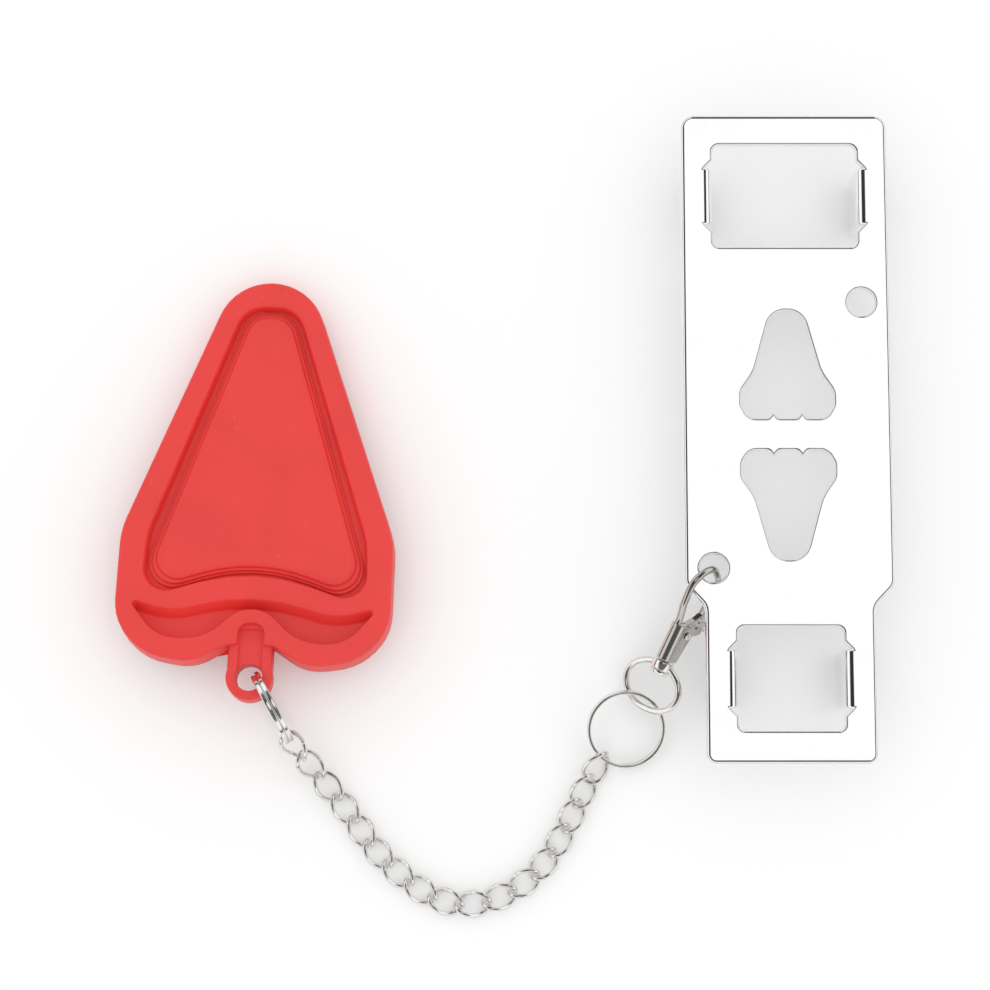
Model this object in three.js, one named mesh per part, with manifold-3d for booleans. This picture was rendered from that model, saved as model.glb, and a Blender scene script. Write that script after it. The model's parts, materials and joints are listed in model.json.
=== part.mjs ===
// A portable door lock: a steel claw plate and a red locking handle, kept together by a snap hook,
// two split rings and a curb chain. Millimetres, +Z up. The plate stands on its claws and the chain
// and the handle lie beside it, on the level z = 0.
import * as THREE from "three";
import { mergeVertices } from "three/addons/utils/BufferGeometryUtils.js";
import Module from "manifold-3d";

const wasm = await Module();
wasm.setup();
const { Manifold, Mesh } = wasm;

// Driving dimensions of the claw plate
const PLATE_LENGTH = 131.8;
const PLATE_HEAD_WIDTH = 42;
const PLATE_TAIL_WIDTH = 34;
const PLATE_THICKNESS = 1.8;
const PLATE_HEAD_RADIUS = 2.6;
const PLATE_TAIL_RADIUS = 2;
const SHOULDER_START = 30.4;
const SHOULDER_LENGTH = 4.2;
const SHOULDER_RADIUS = 3;
const CLAW_DEPTH = 11.2;
const CLAW_BEND_RADIUS = 2;
const CLAW_CORNER_RADIUS = 2.5;
const EAR_LENGTH = 14.8;
const EAR_SLANT = 2;
const EAR_RADIUS = 0.9;
const HEAD_CLAW_SPAN = 33.2;
const HEAD_CLAW_WIDTH = 11.8;
const TAIL_CLAW_SPAN = 25;
const TAIL_CLAW_WIDTH = 11.8;
const WINDOW_INSET = 16.9;
const HEAD_WINDOW_HEIGHT = 21.2;
const TAIL_WINDOW_HEIGHT = 20.6;
const WINDOW_CORNER_RADIUS = 2;
const SLOT_LENGTH = 22;
const SLOT_WIDTH = 18.6;
const SLOT_SPACING = 6.5;
const EYE_DIAMETER = 5.6;
const EYE_ACROSS = 15.2;
const EYE_ALONG = 27;

// Driving dimensions of the snap hook
const HOOK_WIRE = 1.5;
const HOOK_TIP_WIRE = 1.2;
const HOOK_LENGTH = 21.4;
const HOOK_OPENING = 7.6;
const HOOK_OFFSET = 0.5;
const HOOK_EYE_ANGLE = -80;
const HOOK_EYE_OFFSET = 0.9;
const HOOK_CROSSING_X = 1.4;
const HOOK_CROSSING_DEPTH = 1.4;
const HOOK_THROAT = 5.5;
const CLASP_BODY_LENGTH = 8;
const CLASP_BODY_WIDTH = 5.2;
const CLASP_BODY_THICKNESS = 3.2;
const CLASP_WALL = 0.7;
const CLASP_TAPER = 0.9;
const CLASP_BODY_RADIUS = 0.9;
const CLASP_EDGE_RADIUS = 0.3;
const LEVER_THICKNESS = 1.5;
const LEVER_BOSS_DIAMETER = 3.4;
const LEVER_REACH = 3;
const LEVER_RISE = 1.3;
const LEVER_LENGTH = 5;
const LEVER_RIB_HEIGHT = 0.35;
const LEVER_RIB_WIDTH = 0.45;
const LEVER_RIBS = 3;
const GATE_WIDTH = 1.3;
const PIN_DIAMETER = 1;
const PIN_HEAD_DIAMETER = 1.5;
const PIN_HEAD_HEIGHT = 0.25;
const SPRING_WIRE = 0.25;
const SPRING_PITCH = 0.4;
const SPRING_TURNS = 1.5;
const RIVET_DIAMETER = 1.6;
const RIVET_HEAD_DIAMETER = 3.8;
const RIVET_HEAD_HEIGHT = 0.9;
const RIVET_TAIL_DIAMETER = 2.4;
const RIVET_TAIL_HEIGHT = 0.8;
const LOOP_BOSS_DIAMETER = 4.4;
const LOOP_BOSS_HEIGHT = 1.8;
const LOOP_WIRE = 1.4;
const LOOP_WIDTH = 14.2;
const LOOP_LENGTH = 11;

// Driving dimensions of the rings and the chain
const RING_DIAMETER = 16.1;
const RING_WIRE_WIDTH = 1;
const RING_WIRE_HEIGHT = 0.7;
const RING_TURN_GAP = 0.3;
const RING_JOG = 26;
const RING_IN_LOOP_SLACK = 0.8;
const RING_IN_LINK_SLACK = 0.95;
const RING_BELOW_EYE = 0.6;
const RING_ABOVE_EYE = 1;
const RING_BESIDE_EYE = 0.8;
const LINK_WIRE = 0.95;
const LINK_LENGTH = 7.95;
const LINK_WIDTH = 5.6;
const LINK_TWIST = 90;
const LINK_PLAY = 0.45;
const CHAIN_RISE = 0.49;

// Driving dimensions of the handle
const HANDLE_THICKNESS = 6.6;
const HANDLE_HALF_WIDTH = 27.8;
const HANDLE_TIP_REACH = 81.5;
const TAIL_THICKNESS = 5.2;
const TAIL_EYE_DIAMETER = 5.4;
const TAIL_END_RADIUS = 4.65;
const TAIL_NECK_WIDTH = 8.9;
const GROOVE_DEPTH = 3;
const PANEL_DROP = 0.8;
const POCKET_DEPTH = 3;
const CHANNEL_DEPTH = 0.7;
const CHANNEL_WIDTH = 4.7;
const CHANNEL_LENGTH = 10.4;
const LUG_HEIGHT = 4.6;
const LUG_NEAR_EDGE = 27.3;

// Clearances and drawing steps
const RUNNING_CLEARANCE = 0.3;
const FINE_CLEARANCE = 0.2;
const LUG_CLEARANCE = 0.4;
const FLOOR_CLEARANCE = 0.02;
const CUT_OVERRUN = 1;
const WELD_OVERLAP = 0.2;
const MERGE_DISTANCE = 1e-4;
const ARC_STEPS = 3;
const LARGE_ARC_STEPS = 8;
const ROUND_STEPS = 20;
const COIL_STEPS = 12;
const WIRE_SIDES = 8;
const LINK_STEPS = 22;
const RING_STEPS = 30;

// How the parts lie, in degrees
const CLASP_HEADING = 63;
const CLASP_SLOPE = 17;
const CLASP_ROLL = 51;
const LOOP_ROLL = -28;
const SPLIT_RING_HEADING = 236;
const SPLIT_RING_ROLL = -12;
const SPLIT_RING_SLOPE = 9;
const HANDLE_LEAN = 2.5;
const RING_LINK_ANGLE = -3;
const HANDLE_RING_HEADING = 118.5;
const HANDLE_RING_ROLL = 93.2;

// Each link of the chain from the clasp's ring to the handle's: which way it runs on the table,
// how steeply it climbs and how far it is rolled about its own length, all in degrees. The first
// link's climb follows from the height of the ring.
const CHAIN_LAY_SHARES = [
  { heading: 236, climb: 0, roll: -30 },
  { heading: 242, climb: -3, roll: -16 },
  { heading: 245, climb: -2, roll: -4 },
  { heading: 240, climb: 0, roll: 0 },
  { heading: 232, climb: 0, roll: 0 },
  { heading: 216, climb: 0, roll: 0 },
  { heading: 203, climb: 0, roll: 0 },
  { heading: 186, climb: 0, roll: 0 },
  { heading: 164, climb: 0, roll: 0 },
  { heading: 146, climb: 0, roll: 0 },
  { heading: 140, climb: 0, roll: 0 },
  { heading: 132, climb: 0, roll: 0 },
  { heading: 124, climb: 0, roll: 0 },
  { heading: 128, climb: 0, roll: 0 },
  { heading: 132, climb: 10, roll: 0 },
  { heading: 130, climb: 28, roll: -16 },
  { heading: 124, climb: 30, roll: -32 },
];

const DEGREE = Math.PI / 180;
const ALONG = new THREE.Vector3(1, 0, 0);
const ACROSS = new THREE.Vector3(0, 1, 0);
const UP = new THREE.Vector3(0, 0, 1);

// Finishes
const finish = (color, roughness, metalness) => () =>
  new THREE.MeshStandardMaterial({ color, roughness, metalness });
const polishedSteel = finish(0xdfe1e2, 0.18, 1);
const nickel = finish(0xc9c6c1, 0.22, 1);
const springSteel = finish(0x9a9a98, 0.35, 1);
const redPlastic = finish(0xe24441, 0.42, 0);

// Solids
function toSolid(geometry) {
  const bare = geometry.index ? geometry.toNonIndexed() : geometry.clone();
  for (const name of Object.keys(bare.attributes)) {
    if (name !== "position") bare.deleteAttribute(name);
  }
  const merged = mergeVertices(bare, MERGE_DISTANCE);
  return new Manifold(
    new Mesh({
      numProp: 3,
      vertProperties: new Float32Array(merged.attributes.position.array),
      triVerts: new Uint32Array(merged.index.array),
    }),
  );
}

function toGeometry(solid) {
  const mesh = solid.getMesh();
  const geometry = new THREE.BufferGeometry();
  geometry.setAttribute("position", new THREE.BufferAttribute(mesh.vertProperties, 3));
  geometry.setIndex(new THREE.BufferAttribute(mesh.triVerts, 1));
  const faceted = geometry.toNonIndexed();
  faceted.computeVertexNormals();
  return faceted;
}

function joinAll(solids) {
  return solids.reduce((whole, solid) => whole.add(solid));
}

// A flat shape raised from one level to another.
function prism(shape, bottom, top, curveSegments = ARC_STEPS) {
  const depth = top - bottom;
  const geometry = new THREE.ExtrudeGeometry(shape, { depth, bevelEnabled: false, curveSegments });
  return toSolid(geometry.translate(0, 0, bottom));
}

// A round bar standing on z = bottom.
function bar(diameter, bottom, top, steps = ROUND_STEPS) {
  const height = top - bottom;
  const geometry = new THREE.CylinderGeometry(diameter / 2, diameter / 2, height, steps);
  return toSolid(geometry.rotateX(90 * DEGREE).translate(0, 0, (top + bottom) / 2));
}

// A round bar lying along Y.
function lengthwise(diameter, start, end) {
  return bar(diameter, -end, -start).rotate([90, 0, 0]);
}

function block(width, length, bottom, top) {
  const geometry = new THREE.BoxGeometry(width, length, top - bottom);
  return toSolid(geometry.translate(0, 0, (top + bottom) / 2));
}

// A closed outline through corners [x, y, fillet radius], each fillet limited by its two sides.
function filletedShape(corners) {
  const points = corners.map(([x, y]) => new THREE.Vector2(x, y));
  const count = points.length;
  const shape = new THREE.Shape();
  points.forEach((point, i) => {
    const before = points[(i + count - 1) % count];
    const after = points[(i + 1) % count];
    const back = before.clone().sub(point);
    const ahead = after.clone().sub(point);
    const room = Math.min(back.length(), ahead.length()) / 2;
    back.normalize();
    ahead.normalize();
    const half = Math.acos(THREE.MathUtils.clamp(back.dot(ahead), -1, 1)) / 2;
    const reach = Math.min(corners[i][2] / Math.tan(half), room);
    const radius = reach * Math.tan(half);
    const start = point.clone().addScaledVector(back, reach);
    const end = point.clone().addScaledVector(ahead, reach);
    if (i === 0) shape.moveTo(start.x, start.y);
    else shape.lineTo(start.x, start.y);
    if (radius > 0) {
      const centre = back.clone().add(ahead).normalize().multiplyScalar(radius / Math.sin(half)).add(point);
      const from = start.clone().sub(centre).angle();
      const to = end.clone().sub(centre).angle();
      shape.absarc(centre.x, centre.y, radius, from, to, back.cross(ahead) > 0);
    }
  });
  shape.closePath();
  return shape;
}

// The mirror image of half an outline, listed from the far end back, joins its other half.
function bothSides(half) {
  const mirrored = half.map(([x, y, radius]) => [-x, y, radius]).reverse();
  return [...half, ...mirrored];
}

function rectangle(width, height, radius) {
  const x = width / 2;
  const y = height / 2;
  return filletedShape([
    [x, -y, radius],
    [x, y, radius],
    [-x, y, radius],
    [-x, -y, radius],
  ]);
}

// A round section swept along an open curve and closed at both ends, the radius given along it.
function wire(curve, steps, radiusAt) {
  const frames = curve.computeFrenetFrames(steps, false);
  const positions = [];
  const index = [];
  for (let i = 0; i <= steps; i += 1) {
    const centre = curve.getPointAt(i / steps);
    const radius = radiusAt(i / steps);
    for (let j = 0; j < WIRE_SIDES; j += 1) {
      const angle = (j / WIRE_SIDES) * 360 * DEGREE;
      const point = centre
        .clone()
        .addScaledVector(frames.normals[i], radius * Math.cos(angle))
        .addScaledVector(frames.binormals[i], radius * Math.sin(angle));
      positions.push(...point);
    }
  }
  for (let i = 0; i < steps; i += 1) {
    for (let j = 0; j < WIRE_SIDES; j += 1) {
      const next = (j + 1) % WIRE_SIDES;
      const a = i * WIRE_SIDES + j;
      const b = i * WIRE_SIDES + next;
      index.push(a, b, b + WIRE_SIDES);
      index.push(a, b + WIRE_SIDES, a + WIRE_SIDES);
    }
  }
  const last = steps * WIRE_SIDES;
  for (let j = 1; j < WIRE_SIDES - 1; j += 1) {
    index.push(0, j + 1, j);
    index.push(last, last + j, last + j + 1);
  }
  const geometry = new THREE.BufferGeometry();
  geometry.setAttribute("position", new THREE.Float32BufferAttribute(positions, 3));
  geometry.setIndex(index);
  return toSolid(geometry);
}

// A torus drawn out to an oval of the given outer length (X) and width (Y), then twisted about X.
function ovalRing(length, width, thickness, steps, twist = 0) {
  const halfLength = (length - thickness) / 2;
  const halfWidth = (width - thickness) / 2;
  const mean = (halfLength + halfWidth) / 2;
  const geometry = new THREE.TorusGeometry(mean, thickness / 2, WIRE_SIDES, steps);
  const position = geometry.attributes.position;
  for (let i = 0; i < position.count; i += 1) {
    const angle = Math.atan2(position.getY(i), position.getX(i));
    const outward = Math.hypot(position.getX(i), position.getY(i)) - mean;
    const tangent = new THREE.Vector2(-halfLength * Math.sin(angle), halfWidth * Math.cos(angle));
    tangent.normalize();
    const x = halfLength * Math.cos(angle) + outward * tangent.y;
    const y = halfWidth * Math.sin(angle) - outward * tangent.x;
    const turn = (twist / 2) * DEGREE * (x / halfLength);
    const point = new THREE.Vector3(x, y, position.getZ(i)).applyAxisAngle(ALONG, turn);
    position.setXYZ(i, ...point);
  }
  return toSolid(geometry);
}

function named(name, geometry, material) {
  const mesh = new THREE.Mesh(geometry, material);
  mesh.name = name;
  return mesh;
}

// A frame whose local X runs along a heading and climb, rolled about that X.
function facing(heading, climb, roll) {
  const turn = new THREE.Quaternion().setFromAxisAngle(UP, heading * DEGREE);
  const lift = new THREE.Quaternion().setFromAxisAngle(ACROSS, -climb * DEGREE);
  const spin = new THREE.Quaternion().setFromAxisAngle(ALONG, roll * DEGREE);
  return turn.multiply(lift).multiply(spin);
}

// A frame whose local Y runs along a heading and climb, rolled about that Y.
function pointing(heading, climb, roll) {
  const turn = facing(heading - 90, 0, climb);
  const spin = new THREE.Quaternion().setFromAxisAngle(ACROSS, roll * DEGREE);
  return turn.multiply(spin);
}

// Claw plate, centred on its own middle, its top face at PLATE_TOP
const PLATE_TOP = CLAW_DEPTH + PLATE_THICKNESS;
const PLATE_END = PLATE_LENGTH / 2;
const WINDOW_OFFSET = PLATE_END - WINDOW_INSET;
const PLATE_MIDDLE = CLAW_DEPTH + PLATE_THICKNESS / 2;

// A nose-shaped opening, its narrow round end towards +Y, its three lobes on y = 0.
const SLOT_SIDE_SHARES = [
  [0.1, 0, 0.09],
  [0.155, 0.062, 0.015],
  [0.21, 0, 0.09],
  [0.42, 0, 0.15],
  [0.5, 0.12, 0.12],
  [0.5, 0.25, 0.15],
  [0.355, 0.42, 0.5],
  [0.165, 1, 0.2],
];

function noseShape(length, width) {
  const half = SLOT_SIDE_SHARES.map(([x, y, radius]) => [x * width, y * length, radius * width]);
  return filletedShape(bothSides(half));
}

function plateOutline() {
  const head = PLATE_HEAD_WIDTH / 2;
  const tail = PLATE_TAIL_WIDTH / 2;
  const half = [
    [tail, -PLATE_END, PLATE_TAIL_RADIUS],
    [tail, -SHOULDER_START - SHOULDER_LENGTH, SHOULDER_RADIUS],
    [head, -SHOULDER_START, SHOULDER_RADIUS],
    [head, PLATE_END, PLATE_HEAD_RADIUS],
  ];
  return filletedShape(bothSides(half));
}

// A window with a slant-ended ear on each side, in which the claw's bend and its relief cuts lie.
function windowCut(middle, span, height) {
  const side = span / 2;
  const inner = side - CLAW_BEND_RADIUS;
  const ear = EAR_LENGTH / 2;
  const earShape = filletedShape(
    bothSides([
      [inner, -ear, 0],
      [side, EAR_SLANT - ear, EAR_RADIUS],
      [side, ear - EAR_SLANT, EAR_RADIUS],
      [inner, ear, 0],
    ]),
  );
  const under = CLAW_DEPTH - CUT_OVERRUN;
  const over = PLATE_TOP + CUT_OVERRUN;
  const open = prism(rectangle(2 * inner, height, WINDOW_CORNER_RADIUS), under, over);
  return open.add(prism(earShape, under, over)).translate([0, middle, 0]);
}

// One claw bent down from the side of a window, its outer face at x = span / 2.
function claw(span, width) {
  const side = span / 2;
  const inside = CLAW_BEND_RADIUS - PLATE_THICKNESS;
  const profile = new THREE.Shape();
  profile.moveTo(side + WELD_OVERLAP, CLAW_DEPTH);
  profile.lineTo(side + WELD_OVERLAP, PLATE_TOP);
  profile.lineTo(side, PLATE_TOP);
  profile.absarc(side, PLATE_TOP - CLAW_BEND_RADIUS, CLAW_BEND_RADIUS, 90 * DEGREE, 180 * DEGREE, false);
  profile.lineTo(side - CLAW_BEND_RADIUS, 0);
  profile.lineTo(side - inside, 0);
  profile.lineTo(side - inside, PLATE_TOP - CLAW_BEND_RADIUS);
  profile.absarc(side, PLATE_TOP - CLAW_BEND_RADIUS, inside, 180 * DEGREE, 90 * DEGREE, true);
  profile.closePath();
  const geometry = new THREE.ExtrudeGeometry(profile, {
    depth: width,
    bevelEnabled: false,
    curveSegments: ARC_STEPS,
  });
  const folded = toSolid(geometry.translate(0, 0, -width / 2).rotateX(90 * DEGREE));
  const half = width / 2;
  const face = filletedShape([
    [-half, 0, CLAW_CORNER_RADIUS],
    [half, 0, CLAW_CORNER_RADIUS],
    [half, PLATE_TOP + CUT_OVERRUN, 0],
    [-half, PLATE_TOP + CUT_OVERRUN, 0],
  ]);
  const blank = new THREE.ExtrudeGeometry(face, {
    depth: CLAW_BEND_RADIUS + WELD_OVERLAP + 2 * CUT_OVERRUN,
    bevelEnabled: false,
    curveSegments: ARC_STEPS,
  });
  blank.rotateX(90 * DEGREE).rotateZ(90 * DEGREE);
  return folded.intersect(toSolid(blank.translate(side - CLAW_BEND_RADIUS - CUT_OVERRUN, 0, 0)));
}

function clawPair(middle, span, width) {
  const right = claw(span, width);
  return right.add(right.rotate([0, 0, 180])).translate([0, middle, 0]);
}

function lockPlate() {
  const under = CLAW_DEPTH - CUT_OVERRUN;
  const over = PLATE_TOP + CUT_OVERRUN;
  const opening = prism(noseShape(SLOT_LENGTH, SLOT_WIDTH), under, over);
  const nose = opening.translate([0, SLOT_SPACING / 2, 0]);
  const eye = bar(EYE_DIAMETER, under, over, 2 * ROUND_STEPS);
  return prism(plateOutline(), CLAW_DEPTH, PLATE_TOP)
    .subtract(windowCut(WINDOW_OFFSET, HEAD_CLAW_SPAN, HEAD_WINDOW_HEIGHT))
    .subtract(windowCut(-WINDOW_OFFSET, TAIL_CLAW_SPAN, TAIL_WINDOW_HEIGHT))
    .subtract(nose)
    .subtract(nose.rotate([0, 0, 180]))
    .subtract(eye.translate([EYE_ACROSS, EYE_ALONG, 0]))
    .subtract(eye.translate([-EYE_ACROSS, -EYE_ALONG, 0]))
    .add(clawPair(WINDOW_OFFSET, HEAD_CLAW_SPAN, HEAD_CLAW_WIDTH))
    .add(clawPair(-WINDOW_OFFSET, TAIL_CLAW_SPAN, TAIL_CLAW_WIDTH));
}

// Snap hook: local Y runs up its length from the swivel to the hook, X from the arm to the gate
const BODY_TOP = CLASP_BODY_LENGTH;
const ARM_X = -(CLASP_BODY_WIDTH - HOOK_WIRE) / 2;
const ARM_BOW_X = HOOK_OFFSET - HOOK_OPENING / 2;
const HOOK_TIP_X = HOOK_OFFSET + HOOK_OPENING / 2;
const HOOK_TIP_Y = HOOK_LENGTH - HOOK_THROAT;
const LEVER_PIVOT_X = ARM_X + HOOK_WIRE / 2 + LEVER_BOSS_DIAMETER / 2 + RUNNING_CLEARANCE;
const LEVER_PIVOT_Y = BODY_TOP - LEVER_BOSS_DIAMETER / 2;
const CHANNEL_HALF = LEVER_THICKNESS / 2 + FINE_CLEARANCE;
const RIVET_BORE = RIVET_DIAMETER + 2 * RUNNING_CLEARANCE;
const SWIVEL_ROOM_TOP = CLASP_WALL + RIVET_TAIL_HEIGHT + 2 * RUNNING_CLEARANCE;

function hookCurve() {
  const bend = HOOK_LENGTH - HOOK_OPENING / 2;
  return new THREE.CatmullRomCurve3([
    new THREE.Vector3(ARM_X, BODY_TOP - HOOK_WIRE / 2, 0),
    new THREE.Vector3(ARM_X, BODY_TOP + HOOK_WIRE / 2, 0),
    new THREE.Vector3(ARM_BOW_X, (BODY_TOP + bend) / 2, 0),
    new THREE.Vector3(ARM_BOW_X, bend, 0),
    new THREE.Vector3(HOOK_OFFSET, HOOK_LENGTH - HOOK_WIRE / 2, 0),
    new THREE.Vector3(HOOK_TIP_X - HOOK_TIP_WIRE / 4, bend + HOOK_TIP_WIRE / 2, 0),
    new THREE.Vector3(HOOK_TIP_X, HOOK_TIP_Y, 0),
  ]);
}

function claspBody() {
  const half = CLASP_BODY_WIDTH / 2;
  const outline = filletedShape([
    [-half + CLASP_TAPER / 2, 0, CLASP_BODY_RADIUS],
    [half - CLASP_TAPER, 0, CLASP_BODY_RADIUS],
    [half, BODY_TOP, CLASP_BODY_RADIUS],
    [-half, BODY_TOP, CLASP_BODY_RADIUS / 2],
  ]);
  const face = CLASP_BODY_THICKNESS / 2;
  const section = filletedShape([
    [half, -face, CLASP_EDGE_RADIUS],
    [half, face, CLASP_EDGE_RADIUS],
    [-half, face, face],
    [-half, -face, face],
  ]);
  const roundBack = prism(section, -BODY_TOP - CUT_OVERRUN, CUT_OVERRUN).rotate([90, 0, 0]);
  const shell = prism(outline, -face, face).intersect(roundBack);
  const room = block(CLASP_BODY_WIDTH, BODY_TOP, -CHANNEL_HALF, CHANNEL_HALF);
  const roomX = ARM_X + (HOOK_WIRE + CLASP_BODY_WIDTH) / 2;
  const channel = room.translate([roomX, SWIVEL_ROOM_TOP + BODY_TOP / 2, 0]);
  const tailWidth = RIVET_TAIL_DIAMETER + 2 * RUNNING_CLEARANCE;
  const tailRoom = lengthwise(tailWidth, CLASP_WALL, SWIVEL_ROOM_TOP + CUT_OVERRUN);
  const rivetHole = lengthwise(RIVET_BORE, -CUT_OVERRUN, CLASP_WALL + CUT_OVERRUN);
  const pinWidth = PIN_DIAMETER + 2 * FINE_CLEARANCE;
  const pinHole = bar(pinWidth, -CLASP_BODY_THICKNESS, CLASP_BODY_THICKNESS);
  const arm = wire(hookCurve(), 2 * COIL_STEPS, (along) => {
    const taper = THREE.MathUtils.smoothstep(along, 0.5, 1);
    return THREE.MathUtils.lerp(HOOK_WIRE, HOOK_TIP_WIRE, taper) / 2;
  });
  return shell
    .subtract(channel)
    .subtract(tailRoom)
    .subtract(rivetHole)
    .subtract(pinHole.translate([LEVER_PIVOT_X, LEVER_PIVOT_Y, 0]))
    .add(arm);
}

// Thumb lever and gate, turning on the pin and shutting against the hook's tip
function claspLever() {
  const half = LEVER_THICKNESS / 2;
  const gateEnd = HOOK_TIP_Y - 2 * RUNNING_CLEARANCE;
  const gate = filletedShape([
    [LEVER_PIVOT_X, LEVER_PIVOT_Y, 0],
    [HOOK_TIP_X + GATE_WIDTH / 2, BODY_TOP + RUNNING_CLEARANCE, GATE_WIDTH],
    [HOOK_TIP_X + GATE_WIDTH / 2, gateEnd, 0],
    [HOOK_TIP_X - GATE_WIDTH / 2, gateEnd, 0],
    [HOOK_TIP_X - GATE_WIDTH / 2, BODY_TOP + LEVER_RISE + GATE_WIDTH, GATE_WIDTH],
    [LEVER_PIVOT_X - GATE_WIDTH / 2, BODY_TOP, GATE_WIDTH / 2],
  ]);
  const thumbX = CLASP_BODY_WIDTH / 2 + LEVER_REACH;
  const thumbEnd = BODY_TOP + LEVER_RISE - LEVER_LENGTH / 2;
  const thumbStart = thumbEnd + LEVER_LENGTH;
  const thumb = filletedShape([
    [LEVER_PIVOT_X + GATE_WIDTH, LEVER_PIVOT_Y - GATE_WIDTH / 2, 0],
    [thumbX, thumbEnd, GATE_WIDTH / 2],
    [thumbX, thumbStart, GATE_WIDTH / 2],
    [HOOK_TIP_X, thumbStart, GATE_WIDTH / 3],
    [LEVER_PIVOT_X, BODY_TOP, 0],
  ]);
  const ribs = Array.from({ length: LEVER_RIBS }, (_, i) => {
    const along = thumbEnd + ((i + 1) * LEVER_LENGTH) / (LEVER_RIBS + 1);
    return block(2 * LEVER_RIB_HEIGHT, LEVER_RIB_WIDTH, -half, half).translate([thumbX, along, 0]);
  });
  const boss = bar(LEVER_BOSS_DIAMETER, -half, half);
  const pinHole = bar(PIN_DIAMETER + 2 * FINE_CLEARANCE, -CLASP_BODY_THICKNESS, CLASP_BODY_THICKNESS);
  const springRoom = bar(SPRING_DIAMETER + 2 * FINE_CLEARANCE, SPRING_FLOOR, half + CUT_OVERRUN);
  return prism(gate, -half, half)
    .add(prism(thumb, -half, half))
    .add(boss.translate([LEVER_PIVOT_X, LEVER_PIVOT_Y, 0]))
    .add(joinAll(ribs))
    .subtract(pinHole.translate([LEVER_PIVOT_X, LEVER_PIVOT_Y, 0]))
    .subtract(springRoom.translate([LEVER_PIVOT_X, LEVER_PIVOT_Y, 0]));
}

function leverPin() {
  const end = CLASP_BODY_THICKNESS / 2 + FINE_CLEARANCE;
  const head = bar(PIN_HEAD_DIAMETER, end, end + PIN_HEAD_HEIGHT);
  const shank = bar(PIN_DIAMETER, -end - PIN_HEAD_HEIGHT, end + PIN_HEAD_HEIGHT);
  const pin = shank.add(head).add(head.rotate([180, 0, 0]));
  return pin.translate([LEVER_PIVOT_X, LEVER_PIVOT_Y, 0]);
}

// Torsion spring, coiled round the pin inside the lever's boss
const SPRING_DIAMETER = PIN_DIAMETER + 2 * FINE_CLEARANCE + 2 * SPRING_WIRE;
const SPRING_FLOOR = FINE_CLEARANCE - LEVER_THICKNESS / 2;

class Helix extends THREE.Curve {
  constructor(radius, pitch, turns) {
    super();
    this.radius = radius;
    this.pitch = pitch;
    this.turns = turns;
  }

  getPoint(along, target = new THREE.Vector3()) {
    const angle = along * this.turns * 360 * DEGREE;
    const height = along * this.turns * this.pitch;
    return target.set(this.radius * Math.cos(angle), this.radius * Math.sin(angle), height);
  }
}

function leverSpring() {
  const helix = new Helix((SPRING_DIAMETER - SPRING_WIRE) / 2, SPRING_PITCH, SPRING_TURNS);
  const coil = wire(helix, 2 * COIL_STEPS, () => SPRING_WIRE / 2);
  return coil.translate([LEVER_PIVOT_X, LEVER_PIVOT_Y, SPRING_FLOOR + FINE_CLEARANCE + SPRING_WIRE / 2]);
}

// Swivel rivet: its head is inside the loop, its peened tail inside the clasp's base
const BOSS_TOP = -RUNNING_CLEARANCE;
const BOSS_BOTTOM = BOSS_TOP - LOOP_BOSS_HEIGHT;

function swivelRivet() {
  const headTop = BOSS_BOTTOM - RUNNING_CLEARANCE;
  const tailStart = CLASP_WALL + RUNNING_CLEARANCE;
  const head = lengthwise(RIVET_HEAD_DIAMETER, headTop - RIVET_HEAD_HEIGHT, headTop);
  const shank = lengthwise(RIVET_DIAMETER, headTop - WELD_OVERLAP, tailStart + WELD_OVERLAP);
  const tail = lengthwise(RIVET_TAIL_DIAMETER, tailStart, tailStart + RIVET_TAIL_HEIGHT);
  return head.add(shank).add(tail);
}

// Wire eye with a bored boss that turns on the rivet
const LOOP_CENTRE_Y = BOSS_TOP - (LOOP_BOSS_HEIGHT + LOOP_LENGTH - LOOP_WIRE) / 2;

function swivelLoop() {
  const eye = ovalRing(LOOP_WIDTH, LOOP_LENGTH, LOOP_WIRE, RING_STEPS).translate([0, LOOP_CENTRE_Y, 0]);
  const boss = lengthwise(LOOP_BOSS_DIAMETER, BOSS_BOTTOM, BOSS_TOP);
  const bore = lengthwise(RIVET_BORE, BOSS_BOTTOM - CUT_OVERRUN, BOSS_TOP + CUT_OVERRUN);
  return eye.add(boss).subtract(bore);
}

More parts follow.
